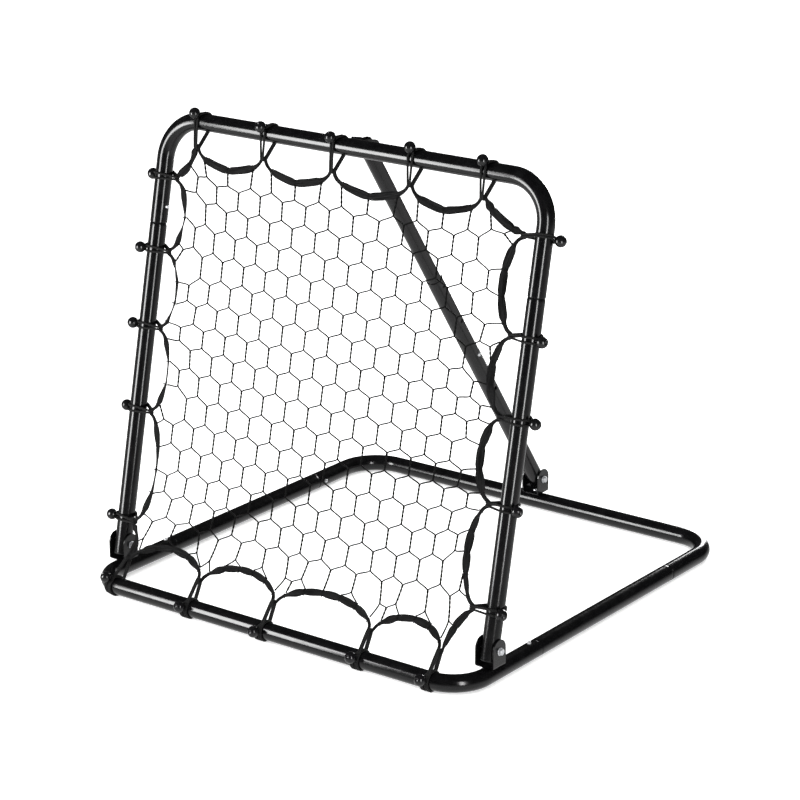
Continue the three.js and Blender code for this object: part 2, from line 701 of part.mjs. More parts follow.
// Links of the lattice cut at the border. Ends that reach it become ties, with a place along it.
function tiedLattice(border) {
  const { vertices, edges } = lattice();
  const points = border.map((p) => p.clone());
  const along = border.map((p, k) => k);
  const addPoint = (point, place) => {
    along.push(place);
    return points.push(point.clone()) - 1;
  };
  const feet = vertices.map((p) => nearest(p, border));
  const tied = feet.map(({ gap }) => gap < NET_SNAP);
  const inner = vertices.map((p, k) => !tied[k] && isInside(p, border));
  const placed = new Map();
  const placeOf = (k) => {
    if (!placed.has(k)) {
      const { point, along: place } = tied[k] ? feet[k] : { point: vertices[k], along: -1 };
      placed.set(k, addPoint(point, place));
    }
    return placed.get(k);
  };
  const links = [];
  for (const [a, b] of edges) {
    const [from, to] = inner[a] ? [a, b] : [b, a];
    if (inner[from] && (inner[to] || tied[to])) links.push([placeOf(from), placeOf(to)]);
    else if (inner[from]) {
      const knot = crossing(vertices[from], vertices[to], border);
      links.push([placeOf(from), addPoint(knot.point, knot.along)]);
    }
  }
  return { points, along, links: pruned(links, along) };
}

// The links without those that lead to a loose end.
function pruned(links, along) {
  const degree = along.map((place) => (place < 0 ? 0 : 2));
  links.flat().forEach((k) => {
    degree[k] += 1;
  });
  const kept = links.filter((link) => link.every((k) => degree[k] > 1));
  return kept.length === links.length ? kept : pruned(kept, along);
}

// Moves the ties of each scallop to even steps along it.
function spaceTies(points, along, links) {
  const stations = SCALLOP_STEPS.length + 2;
  const ties = [...new Set(links.flat())].filter((k) => along[k] >= 0);
  const corner = points.slice(0, netKnots().length * stations).map((p) => p.clone());
  for (let first = 0; first < corner.length; first += stations) {
    const mine = ties.filter((k) => along[k] >= first && along[k] < first + stations);
    mine.sort((a, b) => along[a] - along[b]);
    const ends = corner.slice(first, first + stations);
    const steps = ends.slice(1).map((p, k) => p.distanceTo(ends[k]));
    const total = steps.reduce((sum, step) => sum + step, 0);
    mine.forEach((tie, i) => {
      let rest = (total * (i + 0.5)) / mine.length;
      let k = 0;
      while (rest > steps[k]) {
        rest -= steps[k];
        k += 1;
      }
      along[tie] = first + k + rest / steps[k];
      points[tie].copy(ends[k]).lerp(ends[k + 1], rest / steps[k]);
    });
  }
}

// The net's twines: the tied lattice pulled even by its own tension, with its border twine.
function netGraph() {
  const border = shrunk(scallops().map(({ point }) => point).reverse(), NET_INSET).reverse();
  const { points, along, links } = tiedLattice(border);
  spaceTies(points, along, links);
  relax(points, links, along);
  const ring = along.map((place, k) => [place, k]).filter(([place]) => place >= 0);
  ring.sort((a, b) => a[0] - b[0]);
  const ties = new Set(links.flat());
  const kept = ring.filter(([, k], i) => ties.has(k) || [1, ring.length - 1].every((step) => {
    const beside = ring[(i + step) % ring.length][1];
    return points[k].distanceTo(points[beside]) > MIN_STEP;
  }));
  kept.forEach(([, k], i) => links.push([k, kept[(i + 1) % kept.length][1]]));
  return { points, links };
}

// Each free vertex moves to the middle of its neighbours until the net lies even.
function relax(points, links, along) {
  const near = points.map(() => []);
  for (const [a, b] of links) {
    near[a].push(b);
    near[b].push(a);
  }
  for (let round = 0; round < RELAX_ROUNDS; round += 1) {
    points.forEach((point, k) => {
      if (along[k] >= 0) return;
      const middle = new THREE.Vector2();
      near[k].forEach((other) => middle.addScaledVector(points[other], 1 / near[k].length));
      point.lerp(middle, 0.6);
    });
  }
}

// Closed cells of the graph, each as a ring of points turning left.
function cells({ points, links }) {
  const near = points.map(() => []);
  for (const [a, b] of links) {
    near[a].push(b);
    near[b].push(a);
  }
  const bearing = (from, to) => Math.atan2(points[to].y - points[from].y, points[to].x - points[from].x);
  near.forEach((list, k) => list.sort((a, b) => bearing(k, a) - bearing(k, b)));
  const used = new Set();
  const rings = [];
  near.forEach((list, start) => list.forEach((second) => {
    if (used.has(`${start},${second}`)) return;
    const ring = [];
    let [from, to] = [start, second];
    while (!used.has(`${from},${to}`)) {
      used.add(`${from},${to}`);
      ring.push(points[from]);
      const around = near[to];
      const next = around[(around.indexOf(from) + around.length - 1) % around.length];
      [from, to] = [to, next];
    }
    rings.push(ring);
  }));
  return rings;
}

// The ring moved inwards by half a twine.
function shrunk(ring, by) {
  return ring.map((point, k) => {
    const before = ring[(k + ring.length - 1) % ring.length];
    const after = ring[(k + 1) % ring.length];
    const into = point.clone().sub(before).normalize();
    const away = after.clone().sub(point).normalize();
    const both = new THREE.Vector2(-into.y - away.y, into.x + away.x).normalize();
    const slant = Math.max(0.3, both.dot(new THREE.Vector2(-into.y, into.x)));
    return point.clone().addScaledVector(both, by / slant);
  });
}

// The ring without the points that lie on a straight run.
function corners(ring) {
  return ring.filter((point, k) => {
    const into = point.clone().sub(ring[(k + ring.length - 1) % ring.length]).normalize();
    const away = ring[(k + 1) % ring.length].clone().sub(point).normalize();
    return Math.abs(into.cross(away)) > 0.002;
  });
}

function net() {
  const graph = netGraph();
  const rings = cells(graph);
  const outside = rings.find((ring) => THREE.ShapeUtils.area(ring) < 0);
  const sheet = new THREE.Shape(corners(shrunk(outside, TWINE / 2)));
  for (const ring of rings) {
    const hole = corners(shrunk(ring, TWINE / 2));
    if (ring !== outside && THREE.ShapeUtils.area(hole) > MIN_CELL_AREA) sheet.holes.push(new THREE.Path(hole));
  }
  const geometry = new THREE.ExtrudeGeometry(sheet, { depth: NET_T, bevelEnabled: false });
  const position = geometry.attributes.position;
  for (let k = 0; k < position.count; k += 1) {
    const height = position.getY(k);
    const depth = position.getZ(k) - NET_T / 2;
    position.setXYZ(k, position.getX(k), netY(height) + depth, height);
  }
  add(netFrame, 'net', geometry, NET_CORD);
}

// ---------------------------------------------------------------- ball bungees

// A closed cord loop round the tube and the tape, in the plane of `out` and `up` about `centre`.
function cordLoop(centre, knot, along, lowest) {
  const reach = knot.length();
  const ahead = knot.clone().normalize();
  const side = along.clone().cross(ahead);
  const meet = Math.acos((CORD_LOOP_R - EYE_R) / reach);
  const turns = [-meet, 0, meet];
  const wraps = 7;
  for (let k = 0; k <= wraps; k += 1) turns.push(meet + ((2 * Math.PI - 2 * meet) * k) / wraps);
  const stations = turns.map((turn, k) => ({
    eye: k < 3,
    normal: ahead.clone().multiplyScalar(Math.cos(turn)).addScaledVector(side, Math.sin(turn)),
  }));
  const sections = 5;
  const surface = (u, v, target) => {
    const { eye, normal } = stations[Math.round(u * stations.length) % stations.length];
    const round = 2 * Math.PI * ((v * sections) % sections) / sections + Math.PI / sections + Math.PI;
    target.copy(centre).addScaledVector(normal, eye ? EYE_R : CORD_LOOP_R);
    if (eye) target.add(knot);
    target.addScaledVector(normal, CORD_R * Math.cos(round));
    target.addScaledVector(along, CORD_R * Math.sin(round));
    target.z = Math.max(target.z, lowest);
  };
  return new ParametricGeometry(surface, stations.length, sections);
}

function bungee(group, name, centre, knot, ballDirection, along, lowest = -Infinity) {
  const ball = new THREE.IcosahedronGeometry(BALL_R, 1);
  ball.translate(...centre.clone().addScaledVector(ballDirection, BALL_REACH));
  add(group, name, join(cordLoop(centre, knot, along, lowest), ball), BLACK_RUBBER);
}

// Direction turned `degrees` from `out` towards `up`.
function turnedFrom(out, up, degrees) {
  const angle = THREE.MathUtils.degToRad(degrees);
  return out.clone().multiplyScalar(Math.cos(angle)).addScaledVector(up, Math.sin(angle));
}

function bungees() {
  const front = Y.clone().negate();
  TOP_BUNGEES.forEach(([x, degrees], k) => {
    const knot = at(0, netY(TOP_BAR), -TOP_DROP);
    bungee(netFrame, `top_bungee_${k + 1}`, at(x, 0, TOP_BAR), knot, turnedFrom(front, Z, degrees), X);
  });
  for (const [name, side, places] of [['left', -1, LEFT_BUNGEES], ['right', 1, RIGHT_BUNGEES]]) {
    const outward = at(side, 0, 0);
    places.forEach(([height, degrees], k) => {
      const knot = at(-side * SIDE_INSET, netY(height), 0);
      const number = side < 0 ? places.length - k : k + 1;
      const middle = at(side * halfWidth, 0, height);
      bungee(netFrame, `${name}_bungee_${number}`, middle, knot, turnedFrom(outward, front, degrees), Z);
    });
  }
  BOTTOM_BUNGEES.forEach(([x, degrees], k) => {
    const { y, turn } = frontBarPlace(x);
    const spin = (v) => v.applyAxisAngle(Z, turn);
    const knot = spin(at(0, BOTTOM_BACK, BOTTOM_UP));
    const ball = spin(turnedFrom(front, Z, degrees));
    const number = BOTTOM_BUNGEES.length - k;
    const middle = at(x, y, TUBE_Z);
    bungee(stand, `bottom_bungee_${number}`, middle, knot, ball, spin(X.clone()), -CORD_FLAT);
  });
}

// ---------------------------------------------------------------- assembly

baseTubes();
netFrameTubes();
legPlugs();
strutTubes();
brackets();
topBracket();
fasteners();
snapButtons();
bindingTape();
net();
bungees();

// The front bar rests on its cord loops and the rear bar on the ground.
stand.rotation.x = -Math.atan(CORD_FLAT / BASE_DEPTH);
model.updateMatrixWorld(true);
const bounds = new THREE.Box3().setFromObject(model, true);
const centre = bounds.getCenter(new THREE.Vector3());
model.position.set(-centre.x, -centre.y, -bounds.min.z);
model.updateMatrixWorld(true);

export default model;
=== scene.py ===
import json
import math
import random

import bmesh
import bpy
from mathutils import Matrix, Vector


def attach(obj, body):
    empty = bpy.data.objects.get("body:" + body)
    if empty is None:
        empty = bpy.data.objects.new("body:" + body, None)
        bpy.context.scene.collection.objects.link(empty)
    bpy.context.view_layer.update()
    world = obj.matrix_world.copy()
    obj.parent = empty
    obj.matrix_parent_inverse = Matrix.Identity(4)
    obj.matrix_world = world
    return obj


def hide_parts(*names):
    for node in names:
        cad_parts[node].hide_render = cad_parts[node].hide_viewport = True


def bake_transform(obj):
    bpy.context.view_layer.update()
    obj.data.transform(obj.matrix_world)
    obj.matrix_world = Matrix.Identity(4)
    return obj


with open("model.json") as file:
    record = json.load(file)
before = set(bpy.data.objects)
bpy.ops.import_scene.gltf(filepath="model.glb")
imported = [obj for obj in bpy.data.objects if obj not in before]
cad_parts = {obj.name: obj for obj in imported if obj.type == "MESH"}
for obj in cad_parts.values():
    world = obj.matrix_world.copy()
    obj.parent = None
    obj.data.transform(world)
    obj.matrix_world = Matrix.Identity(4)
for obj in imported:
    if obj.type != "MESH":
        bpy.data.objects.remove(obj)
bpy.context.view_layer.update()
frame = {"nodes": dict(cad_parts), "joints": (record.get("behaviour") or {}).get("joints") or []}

MM = 0.001
rng = random.Random(7)

# ------------------------------------------------------------ driving dimensions, millimetres

TUBE_R, TUBE_BORE = 19.0, 17.5
NECK_R, NECK_BORE, NECK_LENGTH = 17.2, 15.7, 50.0
SWAGE = 7.0                 # length of the taper down to a neck
GAP = 0.3
SIDES = 48                  # facets round a tube

BASE_WIDTH, BASE_DEPTH = 1000.0, 1005.0
HALF = BASE_WIDTH / 2
FRONT_BEND, REAR_BEND, TOP_BEND = 80.0, 92.0, 90.0
FRONT_JOINT, REAR_JOINT = 262.0, 788.0
FRONT_BUTTON, REAR_BUTTON, LEG_BUTTON = 240.0, 808.0, 761.0
HINGE_Y, HINGE_Z = 98.5, 74.5
TILT = math.radians(11.8)
LEG_BOTTOM, LEG_JOINT, TOP_BAR = -22.0, 724.5, 957.0
TOP_PIVOT_BACK, TOP_PIVOT_UP = 52.5, 2.7
STRUT_FOOT, STRUT_RIM, STRUT_BUTTON, STRUT_INNER_END = -22.0, 719.0, 462.5, 425.0
STRUT_OVERHANG = 13.5
HOLE_PITCH, HOLE_COUNT = 119.0, 5
BUTTON_R, BUTTON_HOLE_R, BUTTON_PROUD, BUTTON_ROOT = 4.2, 4.6, 4.5, 13.5

PLATE, EAR_GAP, TOP_EAR_GAP, EAR_HALF, TOP_EAR_HALF = 3.0, 40.0, 37.0, 22.0, 18.0
BOLT_R, BOLT_HOLE_R, WASHER_R, WASHER_T, HEX_FLATS = 4.0, 4.3, 8.5, 1.6, 13.0
HEAD_T, NUT_T, HEX_CHAMFER = 5.3, 6.5, 1.1

CORD_R, BALL_R, DIMPLE_R, BALL_REACH, CORD_FLAT = 2.5, 12.5, 4.2, 34.0, 3.0
CORD_SEAT = TUBE_R + CORD_R - 0.3       # cord's centre line on the tube
EYE_R = 6.6                             # and round the gathered tape
TOP_BUNGEES = [(-408, 32), (-222, 22), (-36, 28), (166, 41), (348, 38)]
RIGHT_BUNGEES = [(842, -20), (639, 16), (472, -6), (293, 27), (79, 35)]
BOTTOM_BUNGEES = [(418, 19), (240, 24), (-17, 12), (-224, 21), (-440, 45)]
LEFT_BUNGEES = [(60, 21), (308, 0), (495, 22), (665, 40), (827, -5)]
TOP_DROP, SIDE_INSET, BOTTOM_BACK, BOTTOM_UP = 52.0, 42.0, 34.0, 49.0

TOP_SAG, SIDE_SAG, BOTTOM_SAG, CORNER_SAG = 42.0, 38.0, 45.0, 14.0
KNOT_HALF = 5.0
TAPE_HALF, KNOT_TAPE_HALF = 9.0, 3.6
TAPE_THICK, KNOT_TAPE_THICK = 1.5, 3.4   # half thicknesses
NET_INSET = 6.0
NET_COLUMNS, NET_ROWS, NET_RISE, NET_PITCH = 15, 17, 36.4, 54.6
NET_TOP, NET_TOP_X, NET_TOP_COLUMN = 889.0, -403.0, 64.1
NET_LOW_X, NET_LOW_COLUMN = -410.0, 62.5
NET_SNAP = 3.0
NET_Y, NET_KNEE = -8.0, 60.0
STRAND_R = 1.75             # a diagonal twine; an upright is two thinner ones twisted together
UPRIGHT_R, UPRIGHT_TWIST, UPRIGHT_LAY = 1.45, 0.95, 9.0
TIE_R, TIE_HEIGHT, TIE_CLEAR = 0.7, 3.0, 1.0

LENS = 124.3
CAMERA_AZIMUTH, CAMERA_ELEVATION = math.radians(36.61), math.radians(18.28)
CAMERA_SPOT = Vector((3437.8, -4164.2, 2316.4))     # millimetres in the stand's frame

FULL_TURN = 2 * math.pi
HANDS = (("left", -1), ("right", 1))

# ------------------------------------------------------------ the design's frames, mm to metres

JOINTS = {joint["name"]: joint for joint in frame["joints"]}
ACROSS = Vector((1, 0, 0))
HINGE = Vector(JOINTS["net_frame_tilt"]["pos_m"])
FOOT = Vector(JOINTS["strut_pivot"]["pos_m"])
BACK = (FOOT - HINGE).normalized()
UP = ACROSS.cross(BACK)


def placed(origin, back, up):
    """Matrix from a frame's millimetres, Y behind and Z up, to the row's metres."""
    turn = Matrix((ACROSS, back, up)).transposed().to_4x4()
    return Matrix.Translation(origin) @ turn @ Matrix.Scale(MM, 4)


STAND = placed(HINGE - (BACK * HINGE_Y + UP * HINGE_Z) * MM, BACK, UP)
LEG_UP = UP * math.cos(TILT) + BACK * math.sin(TILT)
LEGS = placed(HINGE, BACK * math.cos(TILT) - UP * math.sin(TILT), LEG_UP)
STRUT_UP = Vector(JOINTS["strut_slide"]["axis"]).normalized()
STRUT = placed(FOOT, STRUT_UP.cross(ACROSS), STRUT_UP)
X, Y, Z = Vector((1, 0, 0)), Vector((0, 1, 0)), Vector((0, 0, 1))
TOP_PIVOT = Vector((0, TOP_PIVOT_BACK, TOP_BAR + TOP_PIVOT_UP))
STRUT_LENGTH = (LEGS @ TOP_PIVOT - FOOT).length / MM


def shown(name, data):
    """An object in the scene that holds a mesh, a camera or a lamp."""
    made = bpy.data.objects.new(name, data)
    bpy.context.scene.collection.objects.link(made)
    return made


# ------------------------------------------------------------ camera

def camera():
    data = bpy.data.cameras.new("camera")
    data.sensor_width = 36
    data.lens = LENS
    eye = shown("camera", data)
    level = math.cos(CAMERA_ELEVATION)
    away = Vector((
        math.sin(CAMERA_AZIMUTH) * level,
        -math.cos(CAMERA_AZIMUTH) * level,
        math.sin(CAMERA_ELEVATION),
    ))
    turn = STAND.to_3x3().normalized() @ away.to_track_quat("Z", "Y").to_matrix()
    eye.matrix_world = Matrix.Translation(STAND @ CAMERA_SPOT) @ turn.to_4x4()
    bpy.context.scene.camera = eye


camera()

# ------------------------------------------------------------ materials


class Finish:
    """A material under construction: its nodes, with short ways to link them."""

    def __init__(self, name, base, roughness, metallic=0.0, **sockets):
        self.material = bpy.data.materials.new(name)
        self.material.use_nodes = True
        self.tree = self.material.node_tree
        self.shader = self.tree.nodes["Principled BSDF"]
        self.shader.inputs["Base Color"].default_value = (*base, 1)
        self.shader.inputs["Roughness"].default_value = roughness
        self.shader.inputs["Metallic"].default_value = metallic
        for socket, value in sockets.items():
            self.shader.inputs[socket.replace("_", " ")].default_value = value

    def node(self, kind, **settings):
        made = self.tree.nodes.new(kind)
        for key, value in settings.items():
            if key in made.inputs:
                made.inputs[key].default_value = value
            else:
                setattr(made, key, value)
        return made

    def link(self, out, into):
        self.tree.links.new(out, into)

    def place(self):
        return self.node("ShaderNodeTexCoord").outputs["Object"]

    def noise(self, scale, detail=3.0, where=None, roughness=0.5):
        made = self.node("ShaderNodeTexNoise", Scale=scale, Detail=detail, Roughness=roughness)
        self.link(where or self.place(), made.inputs["Vector"])
        return made.outputs["Fac"]

    def math(self, operation, a, b=0.0):
        made = self.node("ShaderNodeMath", operation=operation)
        for value, socket in ((a, made.inputs[0]), (b, made.inputs[1])):
            if isinstance(value, (int, float)):
                socket.default_value = value
            else:
                self.link(value, socket)
        return made.outputs[0]

    def ramp(self, value, *stops):
        made = self.node("ShaderNodeValToRGB")
        elements = made.color_ramp.elements
        while len(elements) < len(stops):
            elements.new(0.5)
        for element, (at, colour) in zip(elements, stops):
            element.position = at
            element.color = (*colour, 1) if isinstance(colour, tuple) else (colour,) * 3 + (1,)
        self.link(value, made.inputs["Fac"])
        return made.outputs["Color"]

    def colour(self, output):
        self.link(output, self.shader.inputs["Base Color"])

    def gloss(self, scale, detail, low, high, top=0.7):
        """Roughness that wanders between two values."""
        wander = self.ramp(self.noise(scale, detail), (0.3, low), (top, high))
        self.link(wander, self.shader.inputs["Roughness"])

    def phase(self, length, pitch):
        """Angle that comes round once in every pitch."""
        return self.math("MULTIPLY", length, FULL_TURN / pitch)

    def bump(self, height, strength, distance):
        made = self.node("ShaderNodeBump", Strength=strength, Distance=distance)
        self.link(height, made.inputs["Height"])
        self.link(made.outputs["Normal"], self.shader.inputs["Normal"])

    def run(self):
        """The piece's own length and width, in millimetres, from its UV map."""
        split = self.node("ShaderNodeSeparateXYZ")
        self.link(self.node("ShaderNodeUVMap", uv_map="run").outputs["UV"], split.inputs[0])
        return split.outputs["X"], split.outputs["Y"]


def black_steel():
    """Gloss black powder coat: faint orange peel, a little dust and scuffing."""
    made = Finish("black_steel", (0.003, 0.003, 0.0033), 0.24, Specular_IOR_Level=0.45)
    scuffs = made.noise(38, 8, roughness=0.7)
    made.colour(made.ramp(scuffs, (0.42, (0.0014, 0.0014, 0.0016)), (0.75, (0.0042, 0.0042, 0.0045))))
    made.gloss(55, 6, 0.14, 0.20)
    peel = made.math("ADD", made.noise(900, 1), made.math("MULTIPLY", made.noise(110, 2), 1.2))
    made.bump(peel, 0.05, 0.0002)
    return made.material


def zinc():
    made = Finish("zinc", (0.74, 0.75, 0.77), 0.26, 0.85)
    made.colour(made.ramp(made.noise(420, 5), (0.3, (0.56, 0.57, 0.59)), (0.7, (0.86, 0.87, 0.89))))
    made.gloss(300, 4, 0.28, 0.46)
    made.bump(made.noise(1500, 2), 0.15, 0.0001)
    return made.material


def spring_steel():
    made = Finish("spring_steel", (0.16, 0.17, 0.19), 0.35, 0.95)
    made.colour(made.ramp(made.noise(260, 4), (0.3, (0.10, 0.11, 0.14)), (0.7, (0.22, 0.22, 0.23))))
    made.gloss(500, 3, 0.28, 0.45)
    made.bump(made.noise(1200, 2), 0.1, 0.0001)
    return made.material


def plug_plastic():
    made = Finish("plug_plastic", (0.005, 0.005, 0.0055), 0.42)
    made.gloss(200, 4, 0.36, 0.50)
    made.bump(made.noise(2200, 2), 0.25, 0.0001)
    return made.material


def ball_plastic():
    """Glossy moulded ball with hairline scratches."""
    made = Finish("ball_plastic", (0.003, 0.003, 0.0033), 0.16)
    scratches = made.noise(900, 6, roughness=0.8)
    made.colour(made.ramp(scratches, (0.4, (0.0022, 0.0022, 0.0025)), (0.8, (0.007, 0.007, 0.0075))))
    made.gloss(260, 6, 0.10, 0.26, 0.75)
    made.bump(made.noise(420, 3), 0.12, 0.0002)
    return made.material


def woven_cord():
    """Braided sheath of the elastic cord: two sets of plaits that cross. Its colour carries painted shade,
    darker in the grooves between plaits and lighter on their crests.
    """
    made = Finish("woven_cord", (0.004, 0.004, 0.0044), 0.55, Specular_IOR_Level=0.2)
    along, around = made.run()
    turn = made.phase(around, 15.7 / 3)
    step = made.phase(along, 4.6)
    left = made.math("SINE", made.math("ADD", step, turn))
    right = made.math("SINE", made.math("SUBTRACT", step, turn))
    plait_relief = made.math("MAXIMUM", left, right)
    # painted shade: the colour follows the plait relief, darker in its grooves and lighter on its crests
    made.colour(made.ramp(made.math("MULTIPLY_ADD", plait_relief, 0.4), (0.1, 0.0008), (0.75, 0.0075)))
    made.gloss(700, 3, 0.52, 0.72)
    made.bump(plait_relief, 0.8, 0.0006)
    return made.material


def woven_tape():
    """Charcoal polyester tape: fine ribs along it, picks across, and soft pressed creases, whose valleys
    carry painted shade and whose ridges are painted lighter.
    """
    made = Finish("woven_tape", (0.008, 0.008, 0.0084), 0.72, Specular_IOR_Level=0.15)
    along, across = made.run()
    rib = made.math("SINE", made.phase(across, 1.15))
    pick = made.math("SINE", made.phase(along, 1.5))
    cloth = made.math("ADD", rib, made.math("MULTIPLY", pick, rib))
    flat = made.node("ShaderNodeCombineXYZ")
    made.link(made.math("MULTIPLY", along, 0.012), flat.inputs[0])
    made.link(made.math("MULTIPLY", across, 0.22), flat.inputs[1])
    crease_relief = made.noise(1.6, 4, flat.outputs[0], 0.65)
    # painted shade: the colour follows the crease relief, darker in the crease valleys and lighter on the
    # ridges
    made.colour(made.ramp(crease_relief, (0.38, (0.0010, 0.0010, 0.0011)), (0.66, (0.011, 0.011, 0.0114))))
    made.gloss(400, 3, 0.7, 0.88)
    made.bump(made.math("ADD", made.math("MULTIPLY", crease_relief, 9.0), cloth), 0.7, 0.0004)
    return made.material


def net_twine():
    """Black twisted twine: the lay of its yarns winds round each strand, with painted shade darker in the
    grooves between yarns and lighter on their crests.
    """
    made = Finish("net_twine", (0.003, 0.003, 0.0033), 0.6, Specular_IOR_Level=0.1)
    along, around = made.run()
    lay = made.math("ADD", made.phase(along, 1.6), around)
    yarn = made.math("SINE", lay)
    # painted shade: the colour follows the yarn relief, darker in the grooves of the lay and lighter on its
    # crests
    made.colour(made.ramp(made.math("MULTIPLY_ADD", yarn, 0.4), (0.1, 0.0008), (0.9, 0.0032)))
    made.gloss(600, 3, 0.5, 0.7)
    made.bump(yarn, 0.4, 0.0002)
    return made.material


BLACK_STEEL, ZINC, SPRING_STEEL, PLUG = black_steel(), zinc(), spring_steel(), plug_plastic()
BALL, CORD, TAPE, TWINE = ball_plastic(), woven_cord(), woven_tape(), net_twine()


# ------------------------------------------------------------ mesh building


class Build:
    """Points, faces, run lengths and materials of a piece that is being made."""

    def __init__(self):
        self.points, self.faces, self.runs, self.kinds = [], [], [], []

    def add(self, points, faces, runs=None, kind=0):
        first = len(self.points)
        self.points += points
        self.faces += [tuple(first + i for i in face) for face in faces]
        self.runs += runs or [(0.0, 0.0)] * len(points)
        self.kinds += [kind] * len(faces)
        return first

    def finish(self, name, place, materials, sharp=38):
        mesh = bpy.data.meshes.new(name)
        mesh.from_pydata([place @ p for p in self.points], [], self.faces)
        layer = mesh.uv_layers.new(name="run")
        for loop in mesh.loops:
            layer.data[loop.index].uv = self.runs[loop.vertex_index]
        for material in materials:
            mesh.materials.append(material)
        for polygon, kind in zip(mesh.polygons, self.kinds):
            polygon.material_index = kind
        return linked(name, mesh, sharp)


def linked(name, mesh, sharp=38):
    mesh.shade_smooth()
    mesh.set_sharp_from_angle(angle=math.radians(sharp))
    return shown(name, mesh)


def stands_for(piece, body, slot, *nodes):
    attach(piece, body)
    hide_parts(*nodes)
    return piece


def band(rows, sides, closed_rows=False):
    """Faces between rings of `sides` points that follow one another."""
    faces = []
    for row in range(rows if closed_rows else rows - 1):
        a, b = row * sides, ((row + 1) % rows) * sides
        for k in range(sides):
            n = (k + 1) % sides
            faces.append((a + k, a + n, b + n, b + k))
    return faces


def lathe(outline, sides=32):
    """Turned solid about Z from (radius, height) points that start and end on the axis."""
    points = [Vector((0, 0, outline[0][1]))]
    for radius, height in outline[1:-1]:
        for k in range(sides):
            angle = FULL_TURN * k / sides
            points.append(Vector((radius * math.cos(angle), radius * math.sin(angle), height)))
    points.append(Vector((0, 0, outline[-1][1])))
    last = len(points) - 1
    rows = len(outline) - 2
    faces = [tuple(1 + i for i in face) for face in band(rows, sides)]
    for k in range(sides):
        n = (k + 1) % sides
        faces.append((0, 1 + n, 1 + k))
        faces.append((last, last - sides + k, last - sides + n))
    return points, faces


def sweep(path, section, closed=False):
    """Tube along `path`. section(k) gives ring k's (sideways, upwards) points in the path's frame."""
    count = len(path)
    tangents = []
    for k in range(count):
        before = path[k - 1] if closed or k else path[0]
        after = path[(k + 1) % count] if closed or k < count - 1 else path[-1]
        tangents.append((after - before).normalized())
    side = tangents[0].orthogonal().normalized()
    points, runs, length = [], [], 0.0
    for k in range(count):
        side = (side - tangents[k] * side.dot(tangents[k])).normalized()
        rise = tangents[k].cross(side)
        if k:
            length += (path[k] - path[k - 1]).length
        ring = section(k)
        for j, (u, v) in enumerate(ring):
            points.append(path[k] + side * u + rise * v)
            runs.append((length, FULL_TURN * j / len(ring)))
    sides = len(section(0))
    faces = band(count, sides, closed)
    if not closed:
        faces.append(tuple(reversed(range(sides))))
        faces.append(tuple(range((count - 1) * sides, count * sides)))
    return points, faces, runs


def circle(radius, sides):
    turns = [FULL_TURN * k / sides for k in range(sides)]
    return [(radius * math.cos(turn), radius * math.sin(turn)) for turn in turns]


def smoothed(path, rounds=2, closed=False):
    """Chaikin's corner cutting."""
    for _ in range(rounds):
        out = [] if closed else [path[0]]
        for k in range(len(path) if closed else len(path) - 1):
            a, b = path[k], path[(k + 1) % len(path)]
            out += [a.lerp(b, 0.25), a.lerp(b, 0.75)]
        path = out if closed else out + [path[-1]]
    return path


# ------------------------------------------------------------ tubes


class Route:
    """A tube's centre line in a plane: straight runs and bends, each (length, curvature)."""

    STEPS = 24                  # stations round a bend

    def __init__(self, origin, across, ahead, start, heading, runs):
        self.origin, self.across, self.ahead = origin, across, ahead
        self.start, self.heading, self.runs = start, heading, runs
        self.out = across.cross(ahead)
        self.length = sum(length for length, _ in runs)

    def at(self, s):
        """Point, direction and sideways direction at length s."""
        x, y = self.start
        h = self.heading
        for length, curve in self.runs:
            step = min(s, length)
            if curve:
                turned = h + curve * step
                x += (math.sin(turned) - math.sin(h)) / curve
                y += (math.cos(h) - math.cos(turned)) / curve
                h = turned
            else:
                x += math.cos(h) * step
                y += math.sin(h) * step
            s -= step
            if s <= 1e-9:
                break
        along = self.across * math.cos(h) + self.ahead * math.sin(h)
        return self.origin + self.across * x + self.ahead * y, along, along.cross(self.out)

    def bend_stations(self):
        done, found = 0.0, []
        for length, curve in self.runs:
            if curve:
                found += [done + length * k / self.STEPS for k in range(self.STEPS + 1)]
            done += length
        return found


def straight(start, end, ahead):
    run = end - start
    return Route(start, run.normalized(), ahead, (0, 0), 0.0, [(run.length, 0)])


def u_route(origin, across, ahead, reach, bend):
    quarter = bend * math.pi / 2
    runs = [(reach - bend, 0), (quarter, 1 / bend), (BASE_WIDTH - 2 * bend, 0)]
    runs += [(quarter, 1 / bend), (reach - bend, 0)]
    return Route(origin, across, ahead, (-HALF, reach), -math.pi / 2, runs)


def rim(s, radius, towards, edge=0.7):
    """Stations that round a tube's outer edge at s; the tube lies `towards` (1 or -1)."""
    found = []
    for k in range(4):
        angle = math.pi / 2 * k / 3
        found.append((s + towards * edge * (1 - math.cos(angle)), radius - edge * (1 - math.sin(angle))))
    found.append((s + towards * (edge + 1.2), radius))
    return found


def plain(length, radius):
    return rim(0, radius, 1) + list(reversed(rim(length, radius, -1)))


WINDOW = 8                  # a hole's window is this many facets wide and long
WINDOW_WALK = (             # (row, column) of the corners round a window
    [(0, k) for k in range(WINDOW)]
    + [(k, WINDOW) for k in range(WINDOW)]
    + [(WINDOW, WINDOW - k) for k in range(WINDOW)]
    + [(WINDOW - k, 0) for k in range(WINDOW)]
)
HOLE_LIP = 0.5


def with_stations(profile, extra):
    """The profile with more stations on its level stretches."""
    out = [profile[0]]
    for (a, ra), (b, rb) in zip(profile, profile[1:]):
        if abs(ra - rb) < 1e-6:
            out += [(s, ra) for s in sorted(extra) if a + 1e-3 < s < b - 1e-3]
        out.append((b, rb))
    return out


